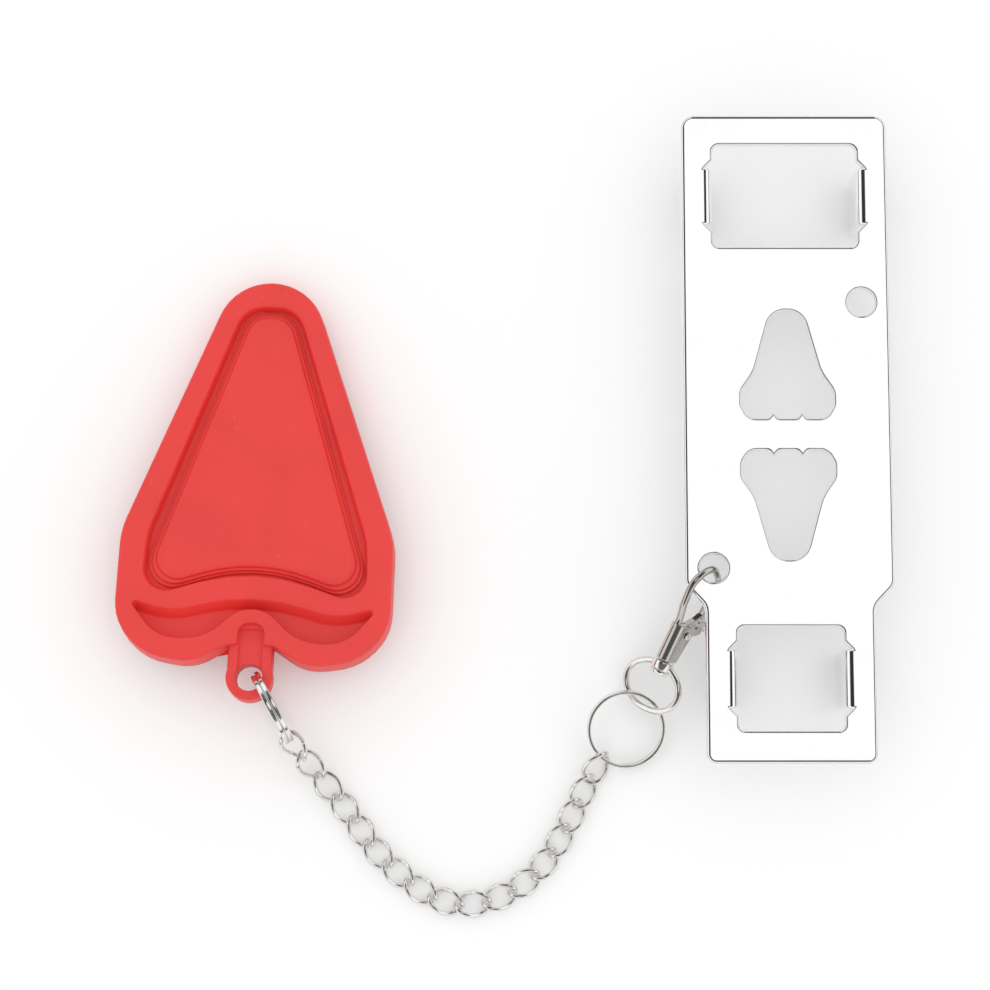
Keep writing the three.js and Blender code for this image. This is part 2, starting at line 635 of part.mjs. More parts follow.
// Split ring: nearly two flat turns of oblong wire about Z, stepping from one level to the other
function splitRing() {
  const radius = (RING_DIAMETER - RING_WIRE_WIDTH) / 2;
  const level = (RING_WIRE_HEIGHT + RING_TURN_GAP) / 2;
  const steps = 2 * RING_STEPS;
  const positions = [];
  const index = [];
  for (let i = 0; i <= steps; i += 1) {
    const angle = RING_JOG + (i / steps) * (720 - 2 * RING_JOG);
    const rise = THREE.MathUtils.smoothstep(angle, 360 - RING_JOG, 360 + RING_JOG);
    for (let j = 0; j < WIRE_SIDES; j += 1) {
      const side = ((j + 0.5) / WIRE_SIDES) * 360 * DEGREE;
      const out = radius + (RING_WIRE_WIDTH / 2) * Math.cos(side);
      const height = THREE.MathUtils.lerp(-level, level, rise) + (RING_WIRE_HEIGHT / 2) * Math.sin(side);
      positions.push(out * Math.cos(angle * DEGREE), out * Math.sin(angle * DEGREE), height);
    }
  }
  for (let i = 0; i < steps; i += 1) {
    for (let j = 0; j < WIRE_SIDES; j += 1) {
      const next = (j + 1) % WIRE_SIDES;
      const a = i * WIRE_SIDES + j;
      const b = i * WIRE_SIDES + next;
      index.push(a, b + WIRE_SIDES, b);
      index.push(a, a + WIRE_SIDES, b + WIRE_SIDES);
    }
  }
  const last = steps * WIRE_SIDES;
  for (let j = 1; j < WIRE_SIDES - 1; j += 1) {
    index.push(0, j, j + 1);
    index.push(last, last + j + 1, last + j);
  }
  const geometry = new THREE.BufferGeometry();
  geometry.setAttribute("position", new THREE.Float32BufferAttribute(positions, 3));
  geometry.setIndex(index);
  return toSolid(geometry);
}

// Handle: local origin at the tail's eye on the underside, +Y towards the tip, top face at its thickness

// Half outlines as shares of the handle's half width, reach to the tip, and half width for the fillets
const HANDLE_SIDE_SHARES = [
  [0.165, 0.074, 0.05],
  [0.4, 0.0225, 0.35],
  [0.78, 0.041, 0.5],
  [1, 0.1255, 0.4],
  [0.995, 0.35, 0.6],
  [0.285, 1, 0.5],
];
const GROOVE_SIDE_SHARES = [
  [0.2, 0.2465, 1.5],
  [0.93, 0.166, 0.24],
  [0.165, 0.9375, 0.2],
];
const PANEL_SIDE_SHARES = [
  [0.2, 0.274, 1.5],
  [0.81, 0.203, 0.18],
  [0.13, 0.909, 0.16],
];
const POCKET_SIDE_SHARES = [
  [0.1, 0.165, 0.23],
  [0.33, 0.087, 0.39],
  [0.68, 0.087, 0.3],
  [0.92, 0.187, 0.03],
  [0.585, 0.155, 0.5],
  [0.2, 0.194, 1.3],
];

function handleShape(shares) {
  const half = shares.map(([x, y, radius]) => [
    x * HANDLE_HALF_WIDTH,
    y * HANDLE_TIP_REACH,
    radius * HANDLE_HALF_WIDTH,
  ]);
  return filletedShape(bothSides(half));
}

function handle() {
  const top = HANDLE_THICKNESS;
  const over = top + CUT_OVERRUN;
  const body = prism(handleShape(HANDLE_SIDE_SHARES), 0, top, LARGE_ARC_STEPS);
  const tailRound = bar(2 * TAIL_END_RADIUS, 0, TAIL_THICKNESS, 2 * ROUND_STEPS);
  const neckLength = HANDLE_SIDE_SHARES[0][1] * HANDLE_TIP_REACH + WELD_OVERLAP;
  const neck = block(TAIL_NECK_WIDTH, neckLength, 0, TAIL_THICKNESS).translate([0, neckLength / 2, 0]);
  const groove = prism(handleShape(GROOVE_SIDE_SHARES), top - GROOVE_DEPTH, over, LARGE_ARC_STEPS);
  const panel = prism(handleShape(PANEL_SIDE_SHARES), top - GROOVE_DEPTH - WELD_OVERLAP, top - PANEL_DROP);
  const pocket = prism(handleShape(POCKET_SIDE_SHARES), top - POCKET_DEPTH, over, LARGE_ARC_STEPS);
  const channelEnds = rectangle(CHANNEL_WIDTH, CHANNEL_LENGTH, CHANNEL_WIDTH / 2);
  const channel = prism(channelEnds, TAIL_THICKNESS - CHANNEL_DEPTH, over, LARGE_ARC_STEPS);
  const eye = bar(TAIL_EYE_DIAMETER, -CUT_OVERRUN, over, 2 * ROUND_STEPS);
  const lugShape = noseShape(SLOT_LENGTH - 2 * LUG_CLEARANCE, SLOT_WIDTH - 2 * LUG_CLEARANCE);
  const lug = prism(lugShape, -LUG_HEIGHT, WELD_OVERLAP).rotate([0, 0, 180]);
  return body
    .add(tailRound)
    .add(neck)
    .subtract(groove)
    .subtract(pocket)
    .subtract(channel.translate([0, CHANNEL_LENGTH / 2, 0]))
    .subtract(eye)
    .add(panel)
    .add(lug.translate([0, LUG_NEAR_EDGE, 0]));
}

// Laying the parts out: each group stands at its joint and turns with it.
const lock = new THREE.Group();

function placed(parent, position, quaternion) {
  const group = new THREE.Group();
  group.position.copy(position);
  group.quaternion.copy(quaternion);
  parent.add(group);
  return group;
}

lock.add(named("lock_plate", toGeometry(lockPlate()), polishedSteel()));

// The clasp hooks through the left eye, with its arm above the plate and its gate below.
const claspTurn = pointing(CLASP_HEADING, CLASP_SLOPE, CLASP_ROLL);
const hookCrossing = new THREE.Vector3(HOOK_CROSSING_X, HOOK_LENGTH - HOOK_CROSSING_DEPTH, 0);
const eyeCentre = new THREE.Vector3(-EYE_ACROSS, -EYE_ALONG, PLATE_MIDDLE);
const hookRest = new THREE.Vector3(HOOK_EYE_OFFSET, 0, 0).applyAxisAngle(UP, HOOK_EYE_ANGLE * DEGREE);
hookRest.add(eyeCentre);
const claspOrigin = hookRest.sub(hookCrossing.applyQuaternion(claspTurn));
const clasp = placed(lock, claspOrigin, claspTurn);
clasp.add(named("clasp_body", toGeometry(claspBody()), nickel()));
clasp.add(named("clasp_lever", toGeometry(claspLever()), nickel()));
clasp.add(named("swivel_rivet", toGeometry(swivelRivet()), nickel()));
clasp.add(named("lever_pin", toGeometry(leverPin()), nickel()));
clasp.add(named("lever_spring", toGeometry(leverSpring()), springSteel()));

// The swivel loop turns about the clasp's length.
const loopTurn = pointing(CLASP_HEADING, CLASP_SLOPE, LOOP_ROLL);
const loop = placed(lock, claspOrigin, loopTurn);
loop.add(named("swivel_loop", toGeometry(swivelLoop()), nickel()));

// The split ring hangs through the loop, and lies down to the table.
const LOOP_END_Y = LOOP_CENTRE_Y - (LOOP_LENGTH - LOOP_WIRE) / 2;
const RING_RADIUS = (RING_DIAMETER - RING_WIRE_WIDTH) / 2;
const loopEnd = new THREE.Vector3(0, LOOP_END_Y, 0).applyQuaternion(loopTurn).add(claspOrigin);
const ringReach = RING_RADIUS - (LOOP_WIRE + RING_WIRE_WIDTH) / 2 - RING_IN_LOOP_SLACK;
const ringAway = new THREE.Vector3(ringReach, 0, 0);
const ringTurn = facing(SPLIT_RING_HEADING, -SPLIT_RING_SLOPE, SPLIT_RING_ROLL);
const ringCentre = ringAway.applyQuaternion(ringTurn).add(loopEnd);
const ring = placed(lock, ringCentre, ringTurn);
ring.add(named("split_ring", toGeometry(splitRing()), nickel()));

// The chain runs link by link from the split ring to the handle's ring.
const linkGeometry = toGeometry(ovalRing(LINK_LENGTH, LINK_WIDTH, LINK_WIRE, LINK_STEPS, LINK_TWIST));
const LINK_PITCH = LINK_LENGTH - 2 * LINK_WIRE - LINK_PLAY;
const LINK_COUNT = CHAIN_LAY_SHARES.length;
const ringExit = new THREE.Vector3(RING_RADIUS, 0, 0).applyAxisAngle(UP, RING_LINK_ANGLE * DEGREE);
const chainEnd = ringExit.applyQuaternion(ringTurn).add(ringCentre);
linkGeometry.computeBoundingBox();
const CHAIN_LEVEL = FLOOR_CLEARANCE - linkGeometry.boundingBox.min.z;
const firstDrop = (CHAIN_LEVEL + CHAIN_RISE - chainEnd.z) / (LINK_PITCH - RING_IN_LINK_SLACK);
CHAIN_LAY_SHARES.forEach(({ heading, climb, roll }, i) => {
  const number = String(LINK_COUNT - i).padStart(2, "0");
  const slope = i === 0 ? Math.asin(firstDrop) / DEGREE : climb;
  const turn = facing(heading, slope, roll);
  const along = new THREE.Vector3(1, 0, 0).applyQuaternion(turn);
  const start = i === 0 ? RING_IN_LINK_SLACK : 0;
  const end = i === LINK_COUNT - 1 ? RING_IN_LINK_SLACK : 0;
  chainEnd.addScaledVector(along, LINK_PITCH / 2 - start);
  placed(lock, chainEnd, turn).add(named(`link_${number}`, linkGeometry, nickel()));
  chainEnd.addScaledVector(along, LINK_PITCH / 2 - end);
});

// The handle leans on its tip and its lug, which raises its tail above the table.
const HANDLE_TILT = Math.atan(LUG_HEIGHT / (HANDLE_TIP_REACH - LUG_NEAR_EDGE)) / DEGREE;
const handleTurn = facing(90 - HANDLE_LEAN, -HANDLE_TILT, 0).multiply(facing(-90, 0, 0));
const tailMiddle = new THREE.Vector3(0, 0, TAIL_THICKNESS / 2).applyQuaternion(handleTurn);
const HANDLE_LIFT = HANDLE_TIP_REACH * Math.sin(HANDLE_TILT * DEGREE);

// The handle's ring stands on edge through the tail's eye and comes down to the last link.
const handleRingTurn = facing(HANDLE_RING_HEADING, 0, HANDLE_RING_ROLL);
const handleRingHeight = HANDLE_LIFT + tailMiddle.z - RING_BELOW_EYE;
const dip = Math.asin((handleRingHeight - chainEnd.z) / RING_RADIUS);
const ringForward = new THREE.Vector3(1, 0, 0).applyQuaternion(handleRingTurn);
const handleRingCentre = chainEnd.clone().addScaledVector(ringForward, RING_RADIUS * Math.cos(dip));
handleRingCentre.z = handleRingHeight;
placed(lock, handleRingCentre, handleRingTurn).add(named("handle_ring", toGeometry(splitRing()), nickel()));

// It passes through the eye on the right and a little above the eye's middle.
const handleOrigin = handleRingCentre.clone().addScaledVector(ringForward, RING_RADIUS).sub(tailMiddle);
handleOrigin.sub(new THREE.Vector3(RING_BESIDE_EYE, RING_ABOVE_EYE, 0).applyQuaternion(handleTurn));
handleOrigin.z = HANDLE_LIFT;
placed(lock, handleOrigin, handleTurn).add(named("handle", toGeometry(handle()), redPlastic()));

// The origin is the middle of the whole lock, on the level that it stands on.
const bounds = new THREE.Box3().setFromObject(lock, true);
const middle = bounds.getCenter(new THREE.Vector3());
lock.position.set(-middle.x, -middle.y, 0);

export default lock;
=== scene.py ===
"""A portable door lock: a polished claw plate, a snap hook, a curb chain and a red locking handle."""

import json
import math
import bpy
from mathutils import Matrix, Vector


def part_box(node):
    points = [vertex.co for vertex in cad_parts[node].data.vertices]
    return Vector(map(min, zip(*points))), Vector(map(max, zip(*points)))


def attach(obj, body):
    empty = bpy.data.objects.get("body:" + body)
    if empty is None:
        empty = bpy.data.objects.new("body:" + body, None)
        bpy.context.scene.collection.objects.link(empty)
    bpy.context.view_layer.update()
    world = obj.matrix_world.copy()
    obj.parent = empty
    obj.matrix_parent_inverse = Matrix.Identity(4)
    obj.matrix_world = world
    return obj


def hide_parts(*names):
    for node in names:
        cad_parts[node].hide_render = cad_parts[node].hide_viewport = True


bl_info = {
    "name": "Portable door lock",
    "version": (1, 0, 0),
    "blender": (4, 5, 0),
    "location": "3D View > Sidebar > Door lock",
    "description": "Builds the finished surfaces of a portable door lock with a keeper chain",
    "category": "Add Mesh",
}

import bmesh
import bpy
import numpy as np
from bpy.props import FloatProperty, FloatVectorProperty, IntProperty, PointerProperty
from bpy.types import Operator, Panel, PropertyGroup
from mathutils import Matrix, Vector
from mathutils.geometry import tessellate_polygon

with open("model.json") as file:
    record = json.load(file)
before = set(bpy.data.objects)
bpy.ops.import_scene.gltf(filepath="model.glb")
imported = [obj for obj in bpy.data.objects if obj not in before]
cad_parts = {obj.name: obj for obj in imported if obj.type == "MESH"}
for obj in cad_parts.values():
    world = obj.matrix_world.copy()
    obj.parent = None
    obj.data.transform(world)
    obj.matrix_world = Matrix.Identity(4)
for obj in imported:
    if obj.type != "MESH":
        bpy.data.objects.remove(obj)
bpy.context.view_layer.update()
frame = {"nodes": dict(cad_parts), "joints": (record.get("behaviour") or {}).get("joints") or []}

MM = 0.001
UP = Vector((0, 0, 1))

# Where faces of two joined shells would lie in one plane, they are set this far apart
CLAW_APART = 0.002 * MM
BACK_APART = 0.004 * MM
LEVER_APART = 0.01 * MM
TAIL_APART = 0.02 * MM


def size(name, description, millimetres):
    """A length of the lock, given here in millimetres and kept in metres."""
    return FloatProperty(
        name=name, description=description, default=millimetres * MM, unit="LENGTH", precision=5
    )


def turn(name, description, degrees):
    """An angle of the lock, given here in degrees."""
    return FloatProperty(
        name=name, description=description, default=math.radians(degrees), subtype="ANGLE"
    )


def number(name, description, value):
    """A strength or a share."""
    return FloatProperty(name=name, description=description, default=value)


def colour(name, description, value):
    """A finish's colour, as linear red, green and blue."""
    return FloatVectorProperty(
        name=name, description=description, default=value, subtype="COLOR", size=3, min=0, max=1
    )


# Sizes and colours


class LockPlateSizes(PropertyGroup):
    """The steel claw plate."""

    length: size("Length", "Length of the plate", 131.8)
    head_width: size("Head width", "Width above the shoulders", 42)
    tail_width: size("Tail width", "Width below the shoulders", 34)
    thickness: size("Thickness", "Thickness of the sheet", 1.8)
    edge: size("Edge rounding", "How far the tumbled edges are rounded", 0.8)
    hole_edge: size("Hole rounding", "How far the openings' edges are rounded", 0.5)
    head_radius: size("Head corners", "Radius of the corners at the head", 2.6)
    tail_radius: size("Tail corners", "Radius of the corners at the tail", 2)
    shoulder_start: size("Shoulder start", "From the middle down to the shoulders", 30.4)
    shoulder_length: size("Shoulder length", "Length over which the width changes", 4.2)
    shoulder_radius: size("Shoulder radius", "Radius of the shoulders' two bends", 3)
    claw_depth: size("Claw depth", "From the sheet's underside down to the claws' tips", 11.2)
    claw_bend: size("Claw bend", "Outside radius of the claws' bends", 2)
    claw_corner: size("Claw corner", "Radius of the claws' corners", 2.5)
    ear_length: size("Ear length", "Length of the ears beside the windows", 14.8)
    ear_slant: size("Ear slant", "How far the ears' ends slant", 2)
    ear_radius: size("Ear corners", "Radius of the ears' outer corners", 2)
    head_span: size("Head span", "Distance over the bends of the head's claws", 33.2)
    head_claw: size("Head claw", "Width of a claw of the head", 11.8)
    tail_span: size("Tail span", "Distance over the bends of the tail's claws", 25)
    tail_claw: size("Tail claw", "Width of a claw of the tail", 11.8)
    window_inset: size("Window inset", "From the plate's end to a window's middle", 16.9)
    head_window: size("Head window", "Length of the head's window", 21.2)
    tail_window: size("Tail window", "Length of the tail's window", 20.6)
    window_corner: size("Window corner", "Radius of the windows' corners", 2)
    slot_length: size("Slot length", "Length of each nose-shaped slot", 22)
    slot_width: size("Slot width", "Width of each nose-shaped slot", 18.6)
    slot_spacing: size("Slot spacing", "Between the two slots", 6.5)
    eye: size("Eye", "Diameter of the two round eyes", 5.6)
    eye_across: size("Eye across", "From the middle line to an eye", 15.2)
    eye_along: size("Eye along", "From the middle to an eye, along the plate", 27)


class SnapHookSizes(PropertyGroup):
    """The swivel snap hook."""

    wire: size("Hook wire", "Diameter of the hook's arm", 1.5)
    tip_wire: size("Tip wire", "Diameter of the hook's tip", 1.2)
    length: size("Length", "From the swivel to the hook's crown", 21.4)
    opening: size("Opening", "Width of the hook between its wires' middles", 7.6)
    offset: size("Offset", "How far the hook stands off the body's middle line", 0.5)
    throat: size("Throat", "From the crown down to the tip", 5.5)
    body_length: size("Body length", "Length of the body", 8)
    body_width: size("Body width", "Width of the body", 5.2)
    body_thickness: size("Body thickness", "Thickness of the body", 3.2)
    wall: size("Wall", "Thickness of the body's base", 0.7)
    taper: size("Taper", "How far the body narrows to the swivel", 0.9)
    body_radius: size("Body corners", "Radius of the body's corners", 0.9)
    edge: size("Edge rounding", "Rounding of the cast edges", 0.2)
    lever_thickness: size("Lever thickness", "Thickness of the thumb lever", 1.5)
    boss: size("Boss", "Diameter of the lever's boss", 3.4)
    reach: size("Thumb reach", "How far the thumb rest stands out", 3)
    rise: size("Thumb rise", "How far the thumb rest stands above the body", 1.3)
    thumb: size("Thumb length", "Length of the thumb rest", 5)
    rib_height: size("Rib height", "Height of the thumb rest's ribs", 0.35)
    rib_width: size("Rib width", "Width of the thumb rest's ribs", 0.5)
    rib_reach: size("Rib reach", "How far the ribs run in over the thumb rest's faces", 2.2)
    rib_proud: size("Rib proud", "How far the ribs stand proud of those faces", 0.22)
    ribs: IntProperty(name="Ribs", description="Number of ribs", default=3, min=0)
    gate: size("Gate", "Width of the gate", 1.3)
    pin: size("Pin", "Diameter of the lever's pin", 1)
    pin_head: size("Pin head", "Diameter of the pin's heads", 1.5)
    pin_head_height: size("Pin head height", "Height of the pin's heads", 0.25)
    rivet: size("Rivet", "Diameter of the swivel rivet", 1.6)
    rivet_head: size("Rivet head", "Diameter of the rivet's head", 3.8)
    rivet_head_height: size("Rivet head height", "Height of the rivet's head", 0.9)
    rivet_tail: size("Rivet tail", "Diameter of the rivet's peened tail", 2.4)
    rivet_tail_height: size("Rivet tail height", "Height of the peened tail", 0.8)
    loop_boss: size("Loop boss", "Diameter of the loop's boss", 4.4)
    loop_boss_height: size("Loop boss height", "Height of the loop's boss", 1.8)
    loop_wire: size("Loop wire", "Diameter of the loop's wire", 1.4)
    loop_width: size("Loop width", "Outside width of the loop", 14.2)
    loop_length: size("Loop length", "Outside length of the loop", 11)
    loop_thicker: number("Loop thicker", "How much thicker the wire is at the boss", 0.55)
    running: size("Running clearance", "Clearance of the turning parts", 0.3)
    fine: size("Fine clearance", "Clearance in the lever's channel", 0.2)


class ChainSizes(PropertyGroup):
    """The split rings and the curb chain."""

    ring_diameter: size("Ring", "Outside diameter of a split ring", 16.1)
    ring_wire: size("Ring wire", "Width of a split ring's flattened wire", 1)
    ring_height: size("Ring height", "Height of a split ring's flattened wire", 0.7)
    ring_gap: size("Ring gap", "Gap between a split ring's two turns", 0.3)
    ring_jog: turn("Ring jog", "Angle over which a split ring changes level", 26)
    link_wire: size("Link wire", "Diameter of a link's wire", 0.95)
    link_length: size("Link length", "Outside length of a link", 7.95)
    link_width: size("Link width", "Outside width of a link", 5.6)
    link_twist: turn("Link twist", "How far one end of a link is turned against the other", 90)
    link_seam: size("Link seam", "Width of the butt joint in a link's wire", 0.07)


class HandleSizes(PropertyGroup):
    """The moulded locking handle."""

    thickness: size("Thickness", "Thickness of the handle", 6.6)
    half_width: size("Half width", "Half of the handle's width", 27.8)
    reach: size("Reach", "From the tail's eye to the tip", 81.5)
    tail_thickness: size("Tail thickness", "Thickness of the tail", 5.2)
    tail_eye: size("Tail eye", "Diameter of the tail's eye", 5.4)
    tail_end: size("Tail end", "Radius of the tail's end", 4.65)
    neck: size("Neck", "Width of the tail's neck", 8.9)
    groove: size("Groove", "Depth of the groove round the panel", 3)
    panel_drop: size("Panel drop", "How far the panel lies below the rim", 0.8)
    pocket: size("Pocket", "Depth of the curled pocket", 3)
    pocket_lean: size("Pocket lean", "How far the pocket's floor lies towards the tail", 1.5)
    channel_depth: size("Channel depth", "Depth of the channel that leads to the eye", 0.7)
    channel_width: size("Channel width", "Width of the channel", 4.7)
    channel_length: size("Channel length", "Length of the channel", 10.4)
    lug_height: size("Lug height", "Height of the locking lug under the handle", 4.6)
    lug_edge: size("Lug edge", "From the eye to the lug's near edge", 27.3)
    lug_clearance: size("Lug clearance", "Play of the lug in the plate's slot", 0.4)
    lean: turn("Lean", "How far the handle leans to the right", 2.5)
    ring_heading: turn("Ring heading", "Direction in which the handle's ring points", 118.5)
    ring_above: size("Ring above eye", "From the eye's middle up to the ring in it", 1)
    ring_beside: size("Ring beside eye", "From the eye's middle right to the ring in it", 0.8)
    edge: size("Edge rounding", "Rounding of the rim's outer edge", 0.6)
    inner_edge: size("Inner rounding", "Rounding of the groove's edge, twice the pocket's", 1)
    panel_edge: size("Panel rounding", "Rounding of the panel's edge", 1.7)
    draft: size("Draft", "How far the moulded walls lean over their height", 0.25)
    bead: size("Bead", "Distance of the bead from the panel", 0.42)


class FinishSizes(PropertyGroup):
    """Colours and textures of the surfaces."""

    steel: colour("Polished steel", "Colour of the plate", (0.93, 0.935, 0.94))
    nickel: colour("Nickel", "Colour of the chain, rings and swivel", (0.83, 0.815, 0.79))
    # A darker copy of the nickel, which is painted shade: the hook's castings carry the same plating
    # as the rest, and this colour stands in for the shaded table and plate underside that their faces
    # mirror
    cast_nickel: colour("Cast nickel", "Colour of the snap hook's castings", (0.53, 0.51, 0.48))
    spring: colour("Spring steel", "Colour of the lever's spring", (0.52, 0.52, 0.51))
    plastic: colour("Red plastic", "Colour of the handle", (0.825, 0.045, 0.040))
    grain: size("Plastic grain", "Size of the spark-eroded grain of the handle", 0.18)
    scratch: size("Scratch spacing", "Spacing of the fine handling scratches", 0.5)


class StageSettings(PropertyGroup):
    """The table, the light and the camera."""

    distance: size("Distance", "From the camera to the table", 520)
    tilt: turn("Tilt", "How far the camera leans from straight down", 7.5)
    focal: size("Focal length", "Focal length on a 36 mm sensor", 92.18)
    aim_left: size("Aim left", "From the plate's middle left to the aim", 58.8)
    aim_down: size("Aim down", "From the plate's middle down to the aim", 10.6)
    sky: number("Sky", "Strength of the soft light overhead", 1.04)
    horizon: number("Horizon", "Strength of the dark flags that metal mirrors", 0.03)
    haze: number("Haze", "Strength of the grey band that metal mirrors", 0.1)
    table: number("Table", "Paleness of the table", 0.98)
    glow: number("Table glow", "How far shadows on the table are lifted", 0.08)


GROUPS = {
    "lock_plate": LockPlateSizes,
    "snap_hook": SnapHookSizes,
    "chain": ChainSizes,
    "handle": HandleSizes,
    "finishes": FinishSizes,
    "stage": StageSettings,
}


def settings(group):
    """The values of one group of sizes or colours."""
    return getattr(bpy.context.scene, f"door_lock_{group}")


# Nodes


class Value:
    """A socket that takes part in ordinary arithmetic."""

    def __init__(self, graph, socket):
        self.graph = graph
        self.socket = socket

    def _math(self, operation, *others):
        sockets = dict(enumerate([self, *others]))
        return self.graph.node("ShaderNodeMath", sockets, operation=operation)["Value"]

    def __add__(self, other):
        return self._math("ADD", other)

    __radd__ = __add__

    def __sub__(self, other):
        return self._math("SUBTRACT", other)

    def __rsub__(self, other):
        return self._math("MULTIPLY", -1) + other

    def __mul__(self, other):
        return self._math("MULTIPLY", other)

    __rmul__ = __mul__

    def __truediv__(self, other):
        return self._math("DIVIDE", other)

    def sine(self):
        return self._math("SINE")

    def cosine(self):
        return self._math("COSINE")

    def between(self, low, high):
        """0 below low, 1 above high and smooth between them."""
        sockets = {"Value": self, "From Min": low, "From Max": high}
        kind = "ShaderNodeMapRange"
        return self.graph.node(kind, sockets, interpolation_type="SMOOTHSTEP")["Result"]


# The output of a Mix node that holds its colour
COLOUR_RESULT = 2


class Graph:
    """A node tree, filled through one method."""

    def __init__(self, tree):
        self.tree = tree

    def node(self, kind, sockets=None, **options):
        """A new node. Its options are set first, then the values or links of its sockets."""
        node = self.tree.nodes.new(kind)
        for name, value in options.items():
            setattr(node, name, value)
        for name, value in (sockets or {}).items():
            self.feed(node.inputs[name], value)
        return Outputs(self, node)

    def feed(self, socket, value):
        if isinstance(value, Value):
            self.tree.links.new(value.socket, socket)
        else:
            socket.default_value = value


class Outputs:
    """A node's outputs, by name."""

    def __init__(self, graph, node):
        self.graph = graph
        self.inner = node

    def __getitem__(self, name):
        return Value(self.graph, self.inner.outputs[name])


def shader_graph(name):
    """A new material and the empty graph of its nodes."""
    material = bpy.data.materials.new(name)
    material.use_nodes = True
    material.node_tree.nodes.clear()
    return material, Graph(material.node_tree)


def noise(graph, place, spacing, detail=2, stretch=(1, 1, 1)):
    """Smooth noise over a surface, of about the given spacing."""
    scaled = graph.node("ShaderNodeMapping", {"Vector": place, "Scale": stretch})["Vector"]
    sockets = {"Vector": scaled, "Scale": 1 / spacing, "Detail": detail}
    return graph.node("ShaderNodeTexNoise", sockets)["Fac"]


def mixed_colour(graph, share, first, last):
    """A colour between two others. Each of them is a value or red, green, blue and 1."""
    sockets = {"Factor": share, "A": first, "B": last}
    mix = graph.node("ShaderNodeMix", sockets, data_type="RGBA")
    return Value(graph, mix.inner.outputs[COLOUR_RESULT])


def relief(graph, height):
    """The normal of a surface with this height, which is in metres."""
    sockets = {"Height": height, "Distance": 1.0, "Strength": 1.0}
    return graph.node("ShaderNodeBump", sockets)["Normal"]


def close_material(graph, shader):
    graph.node("ShaderNodeOutputMaterial", {"Surface": shader})


# Finishes

# Colour, roughness, height of the waves and depth of the scratches of each metal
METALS = {
    "polished_steel": ("steel", 0.07, 0.0008 * MM, 0.0006 * MM),
    "nickel": ("nickel", 0.13, 0.004 * MM, 0.0008 * MM),
    # The nickel again, painted darker for the shade that the hook's castings mirror
    "cast_nickel": ("cast_nickel", 0.1, 0.003 * MM, 0.0008 * MM),
    "spring_steel": ("spring", 0.3, 0.002 * MM, 0.001 * MM),
}
CLOUD_SPACING = 9 * MM
MARK_SPACING = 1.6 * MM
SCRATCHES_ALONG = (1, 9, 1)
SCRATCHES_ALONG_RANGE = (0.62, 0.7)
SCRATCHES_ACROSS = (11, 1, 1)
SCRATCHES_ACROSS_RANGE = (0.64, 0.72)
DULLED = 0.95
DULLED_MOST = 0.6
DULLED_RANGE = (0.35, 0.7)
CLOUD_RANGE = (0.4, 0.75)
CLOUD_ROUGHNESS = 0.04
SCRATCH_ROUGHNESS = 0.1

FLOW_SPACING = 14 * MM
FLOW_RANGE = (0.35, 0.65)
SPECK_SPACING = 1.1 * MM
SPECK_RANGE = (0.72, 0.78)
SCUFF_SPACING = 2.5 * MM
SCUFF_STRETCH = (1, 4, 1)
SCUFF_RANGE = (0.66, 0.78)
SCUFF_COLOUR = (0.86, 0.28, 0.25, 1)
SPECK_SHARE = 0.1
SCUFF_SHARE = 0.05
FLOW_DARKEST = 0.965
FLOW_PALEST = 1.03
GRAIN_HEIGHT = 0.012 * MM
FLOW_HEIGHT = 0.06 * MM
PLASTIC_ROUGHNESS = 0.43
FLOW_ROUGHNESS = 0.08
SCUFF_ROUGHNESS = 0.1
PLASTIC_IOR = 1.5


def metal(name, tint, roughness, waviness, scratch_depth):
    """A plated or polished metal with faint waves, handling marks and fine scratches."""
    finish = settings("finishes")
    material, graph = shader_graph(name)
    place = graph.node("ShaderNodeTexCoord")["Object"]
    clouds = noise(graph, place, CLOUD_SPACING, detail=3)
    marks = noise(graph, place, MARK_SPACING, detail=4)
    along = noise(graph, place, finish.scratch, detail=3, stretch=SCRATCHES_ALONG)
    across = noise(graph, place, finish.scratch, detail=3, stretch=SCRATCHES_ACROSS)
    hair = along.between(*SCRATCHES_ALONG_RANGE)
    scratches = (hair + across.between(*SCRATCHES_ACROSS_RANGE)) * 0.5
    dulled = (clouds * 0.5 + marks * 0.5).between(*DULLED_RANGE) * DULLED_MOST
    dull_tint = (*(channel * DULLED for channel in tint), 1)
    clouded = clouds.between(*CLOUD_RANGE) * CLOUD_ROUGHNESS
    sockets = {
        "Base Color": mixed_colour(graph, dulled, (*tint, 1), dull_tint),
        "Metallic": 1.0,
        "Roughness": roughness + clouded + scratches * SCRATCH_ROUGHNESS,
        "Normal": relief(graph, marks * waviness + scratches * scratch_depth),
    }
    close_material(graph, graph.node("ShaderNodeBsdfPrincipled", sockets)["BSDF"])
    return material


